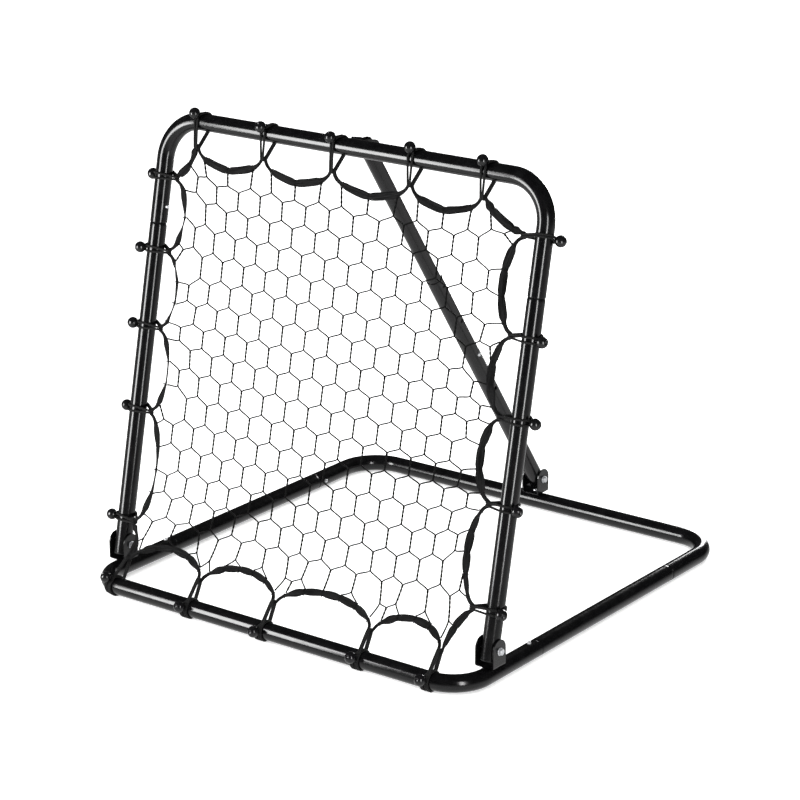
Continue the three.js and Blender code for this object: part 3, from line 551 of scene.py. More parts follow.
def skin(build, route, profile, holes, inward):
    """One surface of a tube, with round windows. Returns its first and last rings and hole rings."""
    facet = 2 * math.pi / SIDES
    rows = {}
    for s, angle in holes:
        half = facet * WINDOW / 2 * TUBE_R
        rows[(s, angle)] = [s + half * (2 * k / WINDOW - 1) for k in range(WINDOW + 1)]
    extra = sorted(set(route.bend_stations() + [s for found in rows.values() for s in found]))
    profile = with_stations(profile, extra)

    def point(s, angle, radius):
        centre, along, sideways = route.at(s)
        return centre + route.out * (radius * math.cos(angle)) + sideways * (radius * math.sin(angle))

    points = [point(s, k * facet, radius) for s, radius in profile for k in range(SIDES)]
    faces = band(len(profile), SIDES)
    if inward:
        faces = [tuple(reversed(face)) for face in faces]
    skipped, loops = set(), []
    for (s, angle), stations in rows.items():
        first = min(range(len(profile)), key=lambda i: abs(profile[i][0] - stations[0]))
        column = round(angle / facet) - WINDOW // 2
        for i in range(WINDOW):
            for k in range(WINDOW):
                skipped.add((first + i) * SIDES + (column + k) % SIDES)
        corners = [(first + i) * SIDES + (column + k) % SIDES for i, k in WINDOW_WALK]
        loops.append((s, angle, profile[first][1], corners))
    faces = [face for n, face in enumerate(faces) if n not in skipped]
    start = build.add(points, faces)
    found = []
    for s, angle, radius, corners in loops:
        boundary = [start + i for i in corners]
        found.append(hole_rings(build, point, s, angle, radius, boundary, inward))
    last = start + (len(profile) - 1) * SIDES
    return list(range(start, start + SIDES)), list(range(last, last + SIDES)), found


def hole_rings(build, point, s, angle, radius, boundary, inward):
    """Fills a window between its square boundary and the round hole. Returns the hole's ring."""
    count = len(boundary)
    half = FULL_TURN / SIDES * WINDOW / 2 * TUBE_R
    square = [((k / WINDOW * 2 - 1) * half, (i / WINDOW * 2 - 1) * half) for i, k in WINDOW_WALK]
    turns = [math.radians(-135) + FULL_TURN * i / count for i in range(count)]
    wide, edge = BUTTON_HOLE_R + HOLE_LIP, HOLE_LIP * 0.3
    rings = [(0.45, wide, 0), (1, wide, 0)]
    if not inward:
        rings += [(1, BUTTON_HOLE_R + edge, edge), (1, BUTTON_HOLE_R, HOLE_LIP)]
    previous = boundary
    for share, size, depth in rings:
        points = []
        for (u, v), turn in zip(square, turns):
            across = u + (size * math.cos(turn) - u) * share
            along = v + (size * math.sin(turn) - v) * share
            points.append(point(s + along, angle + across / TUBE_R, radius - depth))
        start = build.add(points, [])
        ring = list(range(start, start + count))
        join_rings(build, previous, ring, not inward)
        previous = ring
    return previous


def join_rings(build, a, b, flip):
    count = len(a)
    for k in range(count):
        n = (k + 1) % count
        face = (a[k], a[n], b[n], b[k])
        build.faces.append(tuple(reversed(face)) if flip else face)
        build.kinds.append(0)


def tube(name, body, place, route, outer, bore, holes):
    """Tube with an outer profile of (length, radius) stations and a plain bore."""
    build = Build()
    inner = [(0, bore), (route.length, bore)]
    head, tail, mouths = skin(build, route, outer, holes, False)
    inner_head, inner_tail, inner_mouths = skin(build, route, inner, holes, True)
    join_rings(build, head, inner_head, True)
    join_rings(build, tail, inner_tail, False)
    for mouth, inner_mouth in zip(mouths, inner_mouths):
        join_rings(build, mouth, inner_mouth, True)
    piece = build.finish(name + "_round", place, [BLACK_STEEL])
    return stands_for(piece, body, "black_steel", name)


def swaged(start, end, towards):
    """Neck between two lengths, its shoulder at the end nearer the tube's full part."""
    tip, shoulder = (start, end) if towards > 0 else (end, start)
    neck = [(tip, NECK_R - 0.5), (tip + towards * 0.5, NECK_R)]
    neck += [(shoulder, NECK_R), (shoulder, NECK_R + 0.5)]
    neck += [(shoulder + towards * SWAGE * k / 4, NECK_R + 0.5 + (TUBE_R - NECK_R - 0.5)
              * math.sin(math.pi / 2 * k / 4)) for k in range(1, 5)]
    neck.append((shoulder + towards * (SWAGE + 1.5), TUBE_R))
    return neck if towards > 0 else list(reversed(neck))


def frame_tubes():
    top, inward = 0.0, -math.pi / 2         # where a tube's holes are on its round
    for name, body, place, centre, ahead, reach, bend, hole, angle in (
        ("front_tube", "base", STAND, (0, 0, TUBE_R), Y,
         FRONT_JOINT, FRONT_BEND, FRONT_JOINT - FRONT_BUTTON, top),
        ("rear_tube", "base", STAND, (0, BASE_DEPTH, TUBE_R), -Y,
         BASE_DEPTH - REAR_JOINT, REAR_BEND, REAR_BUTTON - REAR_JOINT, inward),
        ("top_tube", "net_frame", LEGS, (0, 0, TOP_BAR), -Z,
         TOP_BAR - LEG_JOINT, TOP_BEND, LEG_BUTTON - LEG_JOINT, inward),
    ):
        route = u_route(Vector(centre), X, ahead, reach, bend)
        holes = [(hole, angle), (route.length - hole, angle)]
        tube(name, body, place, route, plain(route.length, TUBE_R), TUBE_BORE, holes)
    for name, side in HANDS:
        side_tube(name, side)
        leg(name, side)


def side_tube(name, side):
    low, high = FRONT_JOINT + GAP - NECK_LENGTH, REAR_JOINT - GAP + NECK_LENGTH
    route = straight(Vector((side * HALF, low, TUBE_R)), Vector((side * HALF, high, TUBE_R)), -X)
    outer = swaged(0, NECK_LENGTH, 1) + swaged(route.length - NECK_LENGTH, route.length, -1)
    holes = [(FRONT_BUTTON - low, 0.0), (REAR_BUTTON - low, -side * math.pi / 2)]
    tube(f"{name}_side_tube", "base", STAND, route, outer, NECK_BORE, holes)


def leg(name, side):
    top = LEG_JOINT - GAP + NECK_LENGTH
    route = straight(Vector((side * HALF, 0, LEG_BOTTOM)), Vector((side * HALF, 0, top)), X)
    outer = rim(0, TUBE_R, 1) + swaged(route.length - NECK_LENGTH, route.length, -1)
    holes = [(LEG_BUTTON - LEG_BOTTOM, side * math.pi / 2)]
    tube(f"{name}_leg", "net_frame", LEGS, route, outer, NECK_BORE, holes)


def strut_tubes():
    heights = [STRUT_BUTTON + (2 - k) * HOLE_PITCH for k in range(HOLE_COUNT)]
    for half, low, high, radius, bore, holes in (
        ("lower", STRUT_FOOT, STRUT_RIM, TUBE_R, TUBE_BORE, heights),
        ("upper", STRUT_INNER_END, STRUT_LENGTH + STRUT_OVERHANG, NECK_R, NECK_BORE, [STRUT_BUTTON]),
    ):
        route = straight(Vector((0, 0, low)), Vector((0, 0, high)), X)
        tube(f"strut_{half}_tube", f"strut_{half}", STRUT, route, plain(route.length, radius), bore,
             [(height - low, -math.pi / 2) for height in holes])


frame_tubes()
strut_tubes()


# ------------------------------------------------------------ brackets


def prism(outline, axis, low, high):
    """bmesh of a polygon extruded along an axis; the outline gives the other two coordinates in order."""
    made = bmesh.new()
    rest = [k for k in range(3) if k != axis]
    ends = []
    for level in (low, high):
        ring = []
        for a, b in outline:
            spot = [0.0, 0.0, 0.0]
            spot[axis], spot[rest[0]], spot[rest[1]] = level, a, b
            ring.append(made.verts.new(spot))
        ends.append(ring)
    made.faces.new(ends[0])
    made.faces.new(list(reversed(ends[1])))
    count = len(outline)
    for k in range(count):
        n = (k + 1) % count
        made.faces.new((ends[0][n], ends[0][k], ends[1][k], ends[1][n]))
    bmesh.ops.recalc_face_normals(made, faces=made.faces)
    return made


def scratch(made):
    mesh = bpy.data.meshes.new("scratch")
    made.to_mesh(mesh)
    made.free()
    return shown("scratch", mesh)


def arc(cx, cy, radius, start, end, steps):
    turns = [math.radians(start + (end - start) * k / steps) for k in range(steps + 1)]
    return [(cx + radius * math.cos(turn), cy + radius * math.sin(turn)) for turn in turns]


def folded(gap, floor, top, bend=3.0):
    """Section of a folded channel, in X and Z: ears up at both sides of a floor."""
    inner, outer = gap / 2, gap / 2 + PLATE
    x, z = inner - bend, floor + bend + PLATE       # the bends' centres
    outside = [(-outer, top)] + arc(-x, z, bend + PLATE, 180, 270, 8)
    outside += arc(x, z, bend + PLATE, 270, 360, 8) + [(outer, top)]
    inside = [(inner, top)] + arc(x, z, bend, 360, 270, 8)
    return outside + inside + arc(-x, z, bend, 270, 180, 8) + [(-inner, top)]


def channel(name, gap, half_y, floor, cap, place):
    """Folded steel channel whose round-topped ears hold a bolt along X at the origin."""
    top = cap + half_y + 5
    body = scratch(prism(folded(gap, floor, top), 1, -half_y, half_y))
    ears = [(-half_y + 3, floor), (half_y - 3, floor), (half_y, floor + 3)]
    ears += arc(0, cap, half_y, 0, 180, 28) + [(-half_y, floor + 3)]
    bolt_hole = arc(0, 0, BOLT_HOLE_R, 0, 360 - 15, 23)
    tools = [
        (scratch(prism(ears, 0, -60, 60)), "INTERSECT"),
        (scratch(prism(bolt_hole, 0, -60, 60)), "DIFFERENCE"),
    ]
    for tool, operation in tools:
        cutter = body.modifiers.new("cut", "BOOLEAN")
        cutter.operation, cutter.object, cutter.solver = operation, tool, "EXACT"
    edge = body.modifiers.new("edge", "BEVEL")
    edge.width, edge.segments, edge.limit_method, edge.angle_limit = 0.5, 2, "ANGLE", math.radians(50)
    mesh = bpy.data.meshes.new_from_object(body.evaluated_get(bpy.context.evaluated_depsgraph_get()))
    for scrap in [body] + [tool for tool, _ in tools]:
        bpy.data.objects.remove(scrap)
    mesh.transform(place)
    mesh.materials.clear()
    mesh.materials.append(BLACK_STEEL)
    return linked(name, mesh, 30)


def brackets():
    floor = TUBE_R * 2 + GAP - HINGE_Z
    for name, node, x, y in (
        ("left", "left_hinge_bracket", -HALF, HINGE_Y),
        ("right", "right_hinge_bracket", HALF, HINGE_Y),
        ("rear", "rear_bracket", 0, BASE_DEPTH),
    ):
        place = STAND @ Matrix.Translation((x, y, HINGE_Z))
        piece = channel(f"{name}_folded_bracket", EAR_GAP, EAR_HALF, floor, 3, place)
        stands_for(piece, "base", "black_steel", node)
    place = LEGS @ Matrix.Translation(TOP_PIVOT) @ Matrix.Rotation(-math.pi / 2, 4, "X")
    floor = TUBE_R + GAP - TOP_PIVOT_BACK
    piece = channel("top_folded_bracket", TOP_EAR_GAP, TOP_EAR_HALF, floor, 0, place)
    stands_for(piece, "net_frame", "black_steel", "top_bracket")


brackets()

# ------------------------------------------------------------ bolts, nuts, buttons, plugs


def washer(seat):
    """Washer's turned outline along Z, standing on `seat`."""
    r, t = WASHER_R, WASHER_T
    return [(0, seat), (r - 0.3, seat), (r, seat + 0.3), (r, seat + t - 0.3), (r - 0.3, seat + t)]


def hexagon(low, high):
    """Hexagonal block along Z with chamfered corners at its upper end."""
    flat = HEX_FLATS / 2
    count = 48                          # points round it, eight to a flat
    levels = [(low, 0.0), (high - HEX_CHAMFER * 0.9, 0.0), (high - HEX_CHAMFER * 0.35, 0.45), (high, 1.0)]
    points = []
    for level, share in levels:
        for k in range(count):
            angle = FULL_TURN * k / count
            reach = flat / math.cos((angle % (math.pi / 3)) - math.pi / 6)
            size = reach + (min(reach, flat * 0.97) - reach) * share
            points.append(Vector((size * math.cos(angle), size * math.sin(angle), level)))
    points += [Vector((p.x * 0.9, p.y * 0.9, high)) for p in points[-count:]]
    faces = band(len(levels) + 1, count)
    faces.append(tuple(range(len(points) - count, len(points))))
    faces.append(tuple(reversed(range(count))))
    return points, faces


def threaded(low, high):
    """Bolt's shank with rounded thread crests at its tip."""
    outline, pitch = [(0, low), (BOLT_R * 0.75, low)], 1.25
    z = low + 0.8
    while z < low + 12:
        outline += [(BOLT_R * 0.86, z), (BOLT_R, z + pitch * 0.45), (BOLT_R, z + pitch * 0.6)]
        z += pitch
    outline += [(BOLT_R, z + 0.4), (BOLT_R, high), (0, high)]
    return lathe(outline, 20)


def fastener(name, body, node, place, seat, thickness, shank):
    """Bolt's head or nut on its washer, standing on an ear's outside at `seat`."""
    build = Build()
    if shank:
        build.add(*threaded(-(seat + WASHER_T + NUT_T + 3), seat + 0.5))
    build.add(*lathe(washer(seat) + [(0, seat + WASHER_T)], 36))
    build.add(*hexagon(seat + WASHER_T, seat + WASHER_T + thickness))
    stands_for(build.finish(name, place, [ZINC], 30), body, "zinc", node)


def along_x(place, at, flip):
    return place @ Matrix.Translation(at) @ Matrix.Rotation(-math.pi / 2 if flip else math.pi / 2, 4, "Y")


def fasteners():
    """A bolt and nut through each bracket, the hinges' heads on the outside."""
    for name, body, place, at, flip, gap in (
        ("left_hinge", "base", STAND, (-HALF, HINGE_Y, HINGE_Z), True, EAR_GAP),
        ("right_hinge", "base", STAND, (HALF, HINGE_Y, HINGE_Z), False, EAR_GAP),
        ("rear_pivot", "base", STAND, (0, BASE_DEPTH, HINGE_Z), False, EAR_GAP),
        ("top_pivot", "net_frame", LEGS, TOP_PIVOT, False, TOP_EAR_GAP),
    ):
        seat = gap / 2 + PLATE + GAP
        for kind, turned_over, thickness in (("bolt", flip, HEAD_T), ("nut", not flip, NUT_T)):
            fastener(f"{name}_hex_{kind}", body, f"{name}_{kind}", along_x(place, at, turned_over),
                     seat, thickness, kind == "bolt")


def facing(place, at, out):
    turn = out.to_track_quat("Z", "Y").to_matrix().to_4x4()
    return place @ Matrix.Translation(at) @ turn


def leaf_spring(name, place, at, along, out, body):
    """Bent strip inside the tube: its upper leg carries the button, its lower leg stays."""
    high, low, half, thin = BUTTON_ROOT - 0.9, -NECK_BORE + 1.3, 4.0, 0.5
    across = along.cross(out)
    bends = ((14, high), (-20, high), (-27, 4), (-27, -6), (-20, low), (14, low))
    path = [at + along * p.x + out * p.y for p in smoothed([Vector(p) for p in bends], 3)]
    points = []
    for k, point in enumerate(path):
        run = (path[min(k + 1, len(path) - 1)] - path[max(k - 1, 0)]).normalized()
        wide, deep = across * half, run.cross(across) * thin
        points += [point - wide - deep, point + wide - deep, point + wide + deep, point - wide + deep]
    last = len(points) - 4
    build = Build()
    build.add(points, band(len(path), 4) + [(3, 2, 1, 0), (last, last + 1, last + 2, last + 3)])
    piece = build.finish(f"{name}_leaf_spring", place, [SPRING_STEEL], 30)
    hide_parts(f"{name}_spring")
    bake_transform(piece)


def button(name, place, at, out):
    top = TUBE_R + BUTTON_PROUD
    dome = [(BUTTON_R * math.cos(math.radians(a)), top - 3.2 + 3.2 * math.sin(math.radians(a)))
            for a in range(0, 90, 12)]
    build = Build()
    build.add(*lathe([(0, BUTTON_ROOT), (BUTTON_R, BUTTON_ROOT)] + dome + [(0, top)], 28))
    piece = build.finish(f"{name}_domed_button", facing(place, at, out), [ZINC], 45)
    stands_for(piece, f"{name}_button_body", "zinc", f"{name}_button")


def buttons():
    for name, side in HANDS:
        places = [
            (f"front_{name}", STAND, Vector((side * HALF, FRONT_BUTTON, TUBE_R)), -Y, Z, "base"),
            (f"rear_{name}", STAND, Vector((side * HALF, REAR_BUTTON, TUBE_R)), Y, X * -side, "base"),
            (f"{name}_leg", LEGS, Vector((side * HALF, 0, LEG_BUTTON)), Z, X * -side, "net_frame"),
        ]
        for button_name, place, at, along, out, body in places:
            button(button_name, place, at, out)
            leaf_spring(button_name, place, at, along, out, body)
    button("strut", STRUT, Vector((0, 0, STRUT_BUTTON)), X)
    leaf_spring("strut", STRUT, Vector((0, 0, STRUT_BUTTON)), -Z, X, "strut_upper")


def plugs():
    low = LEG_BOTTOM - 2.5
    rim_r, stem = TUBE_R - 0.5, TUBE_BORE - GAP
    outline = [(0, low + 0.8), (rim_r - 7, low + 0.8), (rim_r - 6, low), (rim_r - 1.5, low),
               (rim_r - 0.4, low + 0.5), (rim_r, low + 1.4), (rim_r, LEG_BOTTOM - GAP),
               (stem, LEG_BOTTOM - GAP), (stem, LEG_BOTTOM + 11), (stem - 1, LEG_BOTTOM + 12),
               (0, LEG_BOTTOM + 12)]
    for name, side in HANDS:
        build = Build()
        build.add(*lathe(outline, 40))
        piece = build.finish(f"{name}_push_plug", LEGS @ Matrix.Translation((side * HALF, 0, 0)), [PLUG], 30)
        stands_for(piece, "net_frame", "plug", f"{name}_leg_plug")


fasteners()
buttons()
plugs()


# ------------------------------------------------------------ ball bungees


def ball(build, centre, out):
    """Moulded ball: parting line round it and a dimple where the cord is knotted."""
    rings, sides = 26, 32
    outline = []
    for k in range(1, rings):
        angle = math.pi * k / rings - math.pi / 2
        radius = BALL_R * math.cos(angle)
        height = BALL_R * math.sin(angle)
        if radius < DIMPLE_R and height > 0:
            height -= 1.6 * (1 - (radius / DIMPLE_R) ** 2) + 0.5
        if abs(k - rings / 2) < 0.6:
            radius += 0.25
        outline.append((radius, height))
    outline = [(0, -BALL_R)] + outline + [(0, BALL_R - 2.3)]
    points, faces = lathe(outline, sides)
    turn = out.to_track_quat("Z", "Y").to_matrix()
    build.add([centre + turn @ p for p in points], faces, None, 1)


def sweep_angles(start, end, step=0.24):
    count = max(2, int(abs(end - start) / step) + 1)
    return [start + (end - start) * k / count for k in range(count + 1)]


def cord_strand(side, knot_angle, reach, spread, shift, wrap):
    """Half of the loop, from the ball's neck round tube and tape and back to the neck.
    Gives (centre: 0 tube or 1 knot, radius, angle from the ball, along) for each of its points."""
    open_half = math.acos((CORD_SEAT - EYE_R) / reach)
    front, back = knot_angle - open_half, knot_angle + open_half
    neck = side * 2.5
    found = [(0, BALL_REACH - 9, 0.0, neck * 0.5), (0, CORD_SEAT + 2.0, 0.0, neck)]
    if wrap:                            # down under the bar and up behind it first
        found += [(0, CORD_SEAT, a, neck - shift * 0.55) for a in sweep_angles(-0.35, back - FULL_TURN)]
        found += [(1, EYE_R, a, neck * 0.9) for a in sweep_angles(back, front, 0.6)]
        turns = sweep_angles(front, 0.9 - FULL_TURN)[:-1]
        found += [(0, CORD_SEAT, a, shift * 0.75 + neck * 0.95) for a in turns]
        found.append((0, CORD_SEAT + 1.5, 0.55 - FULL_TURN, shift * 0.5 + neck))
        found.append((0, CORD_SEAT + 2.6, 0.1 - FULL_TURN, side * 5.5))
        found.append((0, CORD_SEAT + 2.8, -0.22 - FULL_TURN, 0))
        return found
    found += [(0, CORD_SEAT, a, side * spread) for a in sweep_angles(0.3, front)]
    found += [(1, EYE_R, a, neck) for a in sweep_angles(front, back, 0.6)]
    found += [(0, CORD_SEAT, a, shift + neck) for a in sweep_angles(back, FULL_TURN - 0.75)]
    found.append((0, CORD_SEAT + 1.2, FULL_TURN - 0.45, shift * 0.7 + neck))
    found.append((0, CORD_SEAT + 2.6, FULL_TURN - 0.1, side * 5.5))
    found.append((0, CORD_SEAT + 2.8, FULL_TURN + 0.22, 0))
    return found


def bungee(name, node, body, place, centre, knot, ball_out, along, shift, spread=3.0, lowest=None):
    """One elastic: ball, cord loop round the tube, and its eye round the tape."""
    wrap = lowest is not None           # the bottom ones, kept above `lowest` and blended
    ahead = knot.normalized()
    # angles are counted from the ball's direction towards the knot by way of the tube's near side
    sideways = along.cross(ball_out)
    knot_angle = math.atan2(ahead.dot(sideways), ahead.dot(ball_out))
    if knot_angle < 0:
        sideways = -sideways
        knot_angle = -knot_angle
    strands = []
    for side in (1, -1):
        strand = []
        for which, radius, angle, offset in cord_strand(side, knot_angle, knot.length, spread, shift, wrap):
            middle = centre + knot if which else centre
            around = ball_out * (radius * math.cos(angle)) + sideways * (radius * math.sin(angle))
            strand.append(middle + around + along * offset)
        strands.append(strand)
    path = smoothed(strands[0] + list(reversed(strands[1]))[1:])
    build = Build()
    ring = circle(CORD_R, 10)
    points, faces, runs = sweep(path, lambda k: ring)
    if wrap:
        for p in points:
            p.z = max(p.z, lowest)
    build.add(points, faces, [(s, a * CORD_R) for s, a in runs], 0)
    ball(build, centre + ball_out * BALL_REACH, ball_out)
    piece = build.finish(name, place, [CORD, BALL], 50)
    if not wrap:
        stands_for(piece, body, "bungee", node)
        return
    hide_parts(node)
    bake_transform(piece)


def turned(out, up, degrees):
    return out * math.cos(math.radians(degrees)) + up * math.sin(math.radians(degrees))


# the bottom knots hang behind the front bar; this is their place in the legs' frame
_, LOW_KNOT_Y, LOW_KNOT = LEGS.inverted() @ (STAND @ Vector((0, BOTTOM_BACK, BOTTOM_UP + TUBE_R)))


def net_y(height):
    """How far behind the legs' axis the net hangs at a height up the legs."""
    return NET_Y + (LOW_KNOT_Y - NET_Y) * math.exp(-(height - LOW_KNOT) / NET_KNEE)


def front_bar(x):
    """The front bar's centre at x, the bend's turn there, and the x of a knot behind it."""
    past = max(0.0, abs(x) - (HALF - FRONT_BEND))
    turn = math.copysign(math.asin(past / FRONT_BEND), x) if past else 0.0
    return FRONT_BEND * (1 - math.cos(turn)), turn, x - BOTTOM_BACK * math.sin(turn)


def bungees():
    for k, (x, degrees) in enumerate(TOP_BUNGEES):
        knot = Vector((0, net_y(TOP_BAR), -TOP_DROP))
        bungee(f"top_ball_bungee_{k + 1}", f"top_bungee_{k + 1}", "net_frame", LEGS, Vector((x, 0, TOP_BAR)),
               knot, turned(-Y, Z, degrees), X, 9.5, [3.6, 5.4, 2.8, 5.6, 5.0][k])
    for (name, side), places in zip(HANDS, (LEFT_BUNGEES, RIGHT_BUNGEES)):
        for k, (height, degrees) in enumerate(places):
            number = len(places) - k if side < 0 else k + 1
            knot = Vector((-side * SIDE_INSET, net_y(height), 0))
            bungee(f"{name}_ball_bungee_{number}", f"{name}_bungee_{number}", "net_frame", LEGS,
                   Vector((side * HALF, 0, height)), knot, turned(X * side, -Y, degrees), Z, 8.0, 5.6)
    for k, (x, degrees) in enumerate(BOTTOM_BUNGEES):
        number = len(BOTTOM_BUNGEES) - k
        y, turn, _ = front_bar(x)
        spin = Matrix.Rotation(turn, 3, "Z")
        bungee(f"bottom_ball_bungee_{number}", f"bottom_bungee_{number}", "base", STAND,
               Vector((x, y, TUBE_R)), spin @ Vector((0, BOTTOM_BACK, BOTTOM_UP)),
               spin @ turned(-Y, Z, degrees), spin @ X, 10.0, 3.0, -CORD_FLAT)


bungees()

# ------------------------------------------------------------ binding tape


def knots():
    """The tape's knots clockwise from the top left, as (x, height) in the legs' frame."""
    side = HALF - SIDE_INSET
    found = [(x, TOP_BAR - TOP_DROP) for x, _ in TOP_BUNGEES]
    found += [(side, height) for height, _ in RIGHT_BUNGEES]
    found += [(front_bar(x)[2], LOW_KNOT) for x, _ in BOTTOM_BUNGEES]
    found += [(-side, height) for height, _ in LEFT_BUNGEES]
    return [Vector(point) for point in found]


KNOTS = knots()
COUNT = len(KNOTS)
SIDE_RUN = [Vector(v) for v in ((1, 0), (0, -1), (-1, 0), (0, 1))]
SAGS = [TOP_SAG, SIDE_SAG, BOTTOM_SAG, SIDE_SAG]


def fullness(t, corner):
    return math.sin(math.pi * t) ** (0.8 if corner else 0.45)


TIES = {k: [] for k in range(COUNT)}     # where along each scallop the net is tied to the tape


def scallop(k, t, inset=0.0):
    """Point on the outline between knots k and k + 1."""
    corner = k % 5 == 4
    following = (k + 1) % COUNT
    run = (KNOTS[following] - KNOTS[k]).normalized()
    inward = Vector((run.y, -run.x))
    start = KNOTS[k] + SIDE_RUN[k // 5] * KNOT_HALF
    end = KNOTS[following] - SIDE_RUN[following // 5] * KNOT_HALF
    sag = CORNER_SAG if corner else SAGS[k // 5]
    return start.lerp(end, t) + inward * (sag * fullness(t, corner) + inset)


def in_legs(point, ahead=0.0):
    return Vector((point.x, net_y(point.y) - ahead, point.y))


def ease(value):
    value = min(1.0, max(0.0, value))
    return value * value * (3 - 2 * value)


def pulled(k, t):
    """Point on scallop k, drawn towards the straight line between its neighbouring ties."""
    stops = [0.0] + TIES[k] + [1.0]
    before = max(stop for stop in stops if stop <= t)
    after = min(stop for stop in stops if stop >= t)
    curve = scallop(k, t)
    if after - before < 1e-6 or before == 0.0 or after == 1.0:
        return curve
    return curve.lerp(scallop(k, before).lerp(scallop(k, after), (t - before) / (after - before)), 0.6)


def tape_stations():
    """(point, share of the tape's full width, twist) along the whole border."""
    steps = 36
    found = []
    for k in range(COUNT):
        lean = rng.uniform(-0.5, 0.5)
        sway = rng.uniform(0.15, 0.45)
        stand = 0.1 if k % 5 == 4 else [0.1, -0.35, 0.1, -0.75][k // 5]
        for i in range(steps):
            t = (1 - math.cos(math.pi * i / steps)) / 2
            near = min(t, 1 - t)
            spread = ease((near - 0.03) / 0.14)
            pinch = 1.0
            for tie in TIES[k]:
                pinch *= 1 - 0.42 * math.exp(-((t - tie) / 0.035) ** 2)
            turn = (lean + stand) * math.sin(math.pi * t) + sway * math.sin(9 * t + 5 * lean)
            found.append((in_legs(pulled(k, t)), spread * pinch, turn + 0.5 * (1 - spread)))
    return found


def tape():
    stations = tape_stations()
    count = len(stations)
    sides = 28
    path = [point for point, _, _ in stations]
    points, runs, length = [], [], 0.0
    for k, (point, spread, twist) in enumerate(stations):
        run = (path[(k + 1) % count] - path[k - 1]).normalized()
        width_way = run.cross(Y).normalized()
        thick_way = run.cross(width_way)
        wide = math.cos(twist) * width_way + math.sin(twist) * thick_way
        thick = math.cos(twist) * thick_way - math.sin(twist) * width_way
        half = KNOT_TAPE_HALF + (TAPE_HALF - KNOT_TAPE_HALF) * spread
        depth = KNOT_TAPE_THICK + (TAPE_THICK - KNOT_TAPE_THICK) * ease(spread)
        crease = 0.7 + 0.9 * (1 - spread)
        phase = 0.9 * math.sin(k * 0.11) + k * 0.015
        for j in range(sides):
            angle = FULL_TURN * j / sides
            u = math.copysign(abs(math.cos(angle)) ** 0.75, math.cos(angle))
            v = math.sin(angle)
            ripple = crease * math.sin(2.6 * u + phase) * (1 - u * u)
            points.append(point + wide * (half * u) + thick * (depth * v + ripple))
            runs.append((length, half * u + (40 if v < 0 else 0)))
        length += (path[(k + 1) % count] - path[k]).length
    build = Build()
    build.add(points, band(count, sides, True), runs)
    stands_for(build.finish("woven_border_tape", LEGS, [TAPE], 60), "net_frame", "tape", "binding_tape")


# ------------------------------------------------------------ net


def border(inset, steps=24):
    """The outline as (place along the border, point)."""
    return [(k + i / steps, scallop(k, i / steps, inset)) for k in range(COUNT) for i in range(steps)]


def crossing(a, b, outline):
    best = None
    for k, (place, c) in enumerate(outline):
        following, d = outline[(k + 1) % len(outline)]
        following = following or COUNT
        ab, cd, ac = b - a, d - c, c - a
        det = ab.x * cd.y - ab.y * cd.x
        if abs(det) < 1e-9:
            continue
        s = (ac.x * cd.y - ac.y * cd.x) / det
        t = (ac.x * ab.y - ac.y * ab.x) / det
        if 0 <= s <= 1 and 0 <= t < 1 and (best is None or s < best[0]):
            best = (s, place + (following - place) * t)
    return None if best is None else best[1] % COUNT


def is_inside(p, outline):
    inside = False
    for k, (_, a) in enumerate(outline):
        b = outline[(k + 1) % len(outline)][1]
        if (a.y > p.y) != (b.y > p.y) and p.x < a.x + (p.y - a.y) * (b.x - a.x) / (b.y - a.y):
            inside = not inside
    return inside


def nearest(p, outline):
    """Distance to the outline and the place along it."""
    return min(((p - q).length, place) for place, q in outline)


def lattice():
    points, links, upper, lower = [], [], {}, {}

    def column_x(column, height):
        t = (NET_TOP - height) / (NET_TOP - LOW_KNOT)
        first = NET_TOP_X + (NET_LOW_X - NET_TOP_X) * t
        return first + column * (NET_TOP_COLUMN + (NET_LOW_COLUMN - NET_TOP_COLUMN) * t)

    for row in range(-1, NET_ROWS):
        top = NET_TOP - row * NET_PITCH
        for k in range(-2, NET_COLUMNS):
            column = k if row % 2 else k + 0.5
            upper[row, column] = len(points)
            points.append(Vector((column_x(column, top), top)))
            lower[row, column] = len(points)
            points.append(Vector((column_x(column, top - NET_RISE), top - NET_RISE)))
            links.append((len(points) - 2, len(points) - 1, True))
    for (row, column), start in lower.items():
        for side in (-0.5, 0.5):
            end = upper.get((row + 1, column + side))
            if end is not None:
                links.append((start, end, False))
    return points, links


def net_graph():
    """The lattice cut at the tape, tied to it at even steps, and pulled even by its own tension."""
    outline = border(NET_INSET)
    raw, raw_links = lattice()
    kinds, places = [], []
    for p in raw:
        gap, place = nearest(p, outline)
        kinds.append("tie" if gap < NET_SNAP else "inner" if is_inside(p, outline) else "outer")
        places.append(place)
    points, ties, index, links = [], {}, {}, []

    def point_of(k):
        if k not in index:
            index[k] = len(points)
            points.append(raw[k].copy())
            if kinds[k] == "tie":
                ties[index[k]] = places[k]
        return index[k]

    for a, b, upright in raw_links:
        kind = {kinds[a], kinds[b]}
        if kind == {"inner"} or kind == {"inner", "tie"}:
            links.append((point_of(a), point_of(b), upright))
        elif kind == {"inner", "outer"}:
            start, end = (a, b) if kinds[a] == "inner" else (b, a)
            place = crossing(raw[start], raw[end], outline)
            ties[len(points)] = place
            points.append(Vector((0, 0)))
            links.append((point_of(start), max(ties), upright))
    links = pruned(links, ties)
    space_ties(points, ties, links)
    relax(points, ties, links)
    return points, ties, links


def pruned(links, ties):
    while True:
        degree = {}
        for a, b, _ in links:
            degree[a] = degree.get(a, 0) + 1
            degree[b] = degree.get(b, 0) + 1
        kept = [link for link in links if all(degree[p] > 1 or p in ties for p in link[:2])]
        if len(kept) == len(links):
            return links
        links = kept


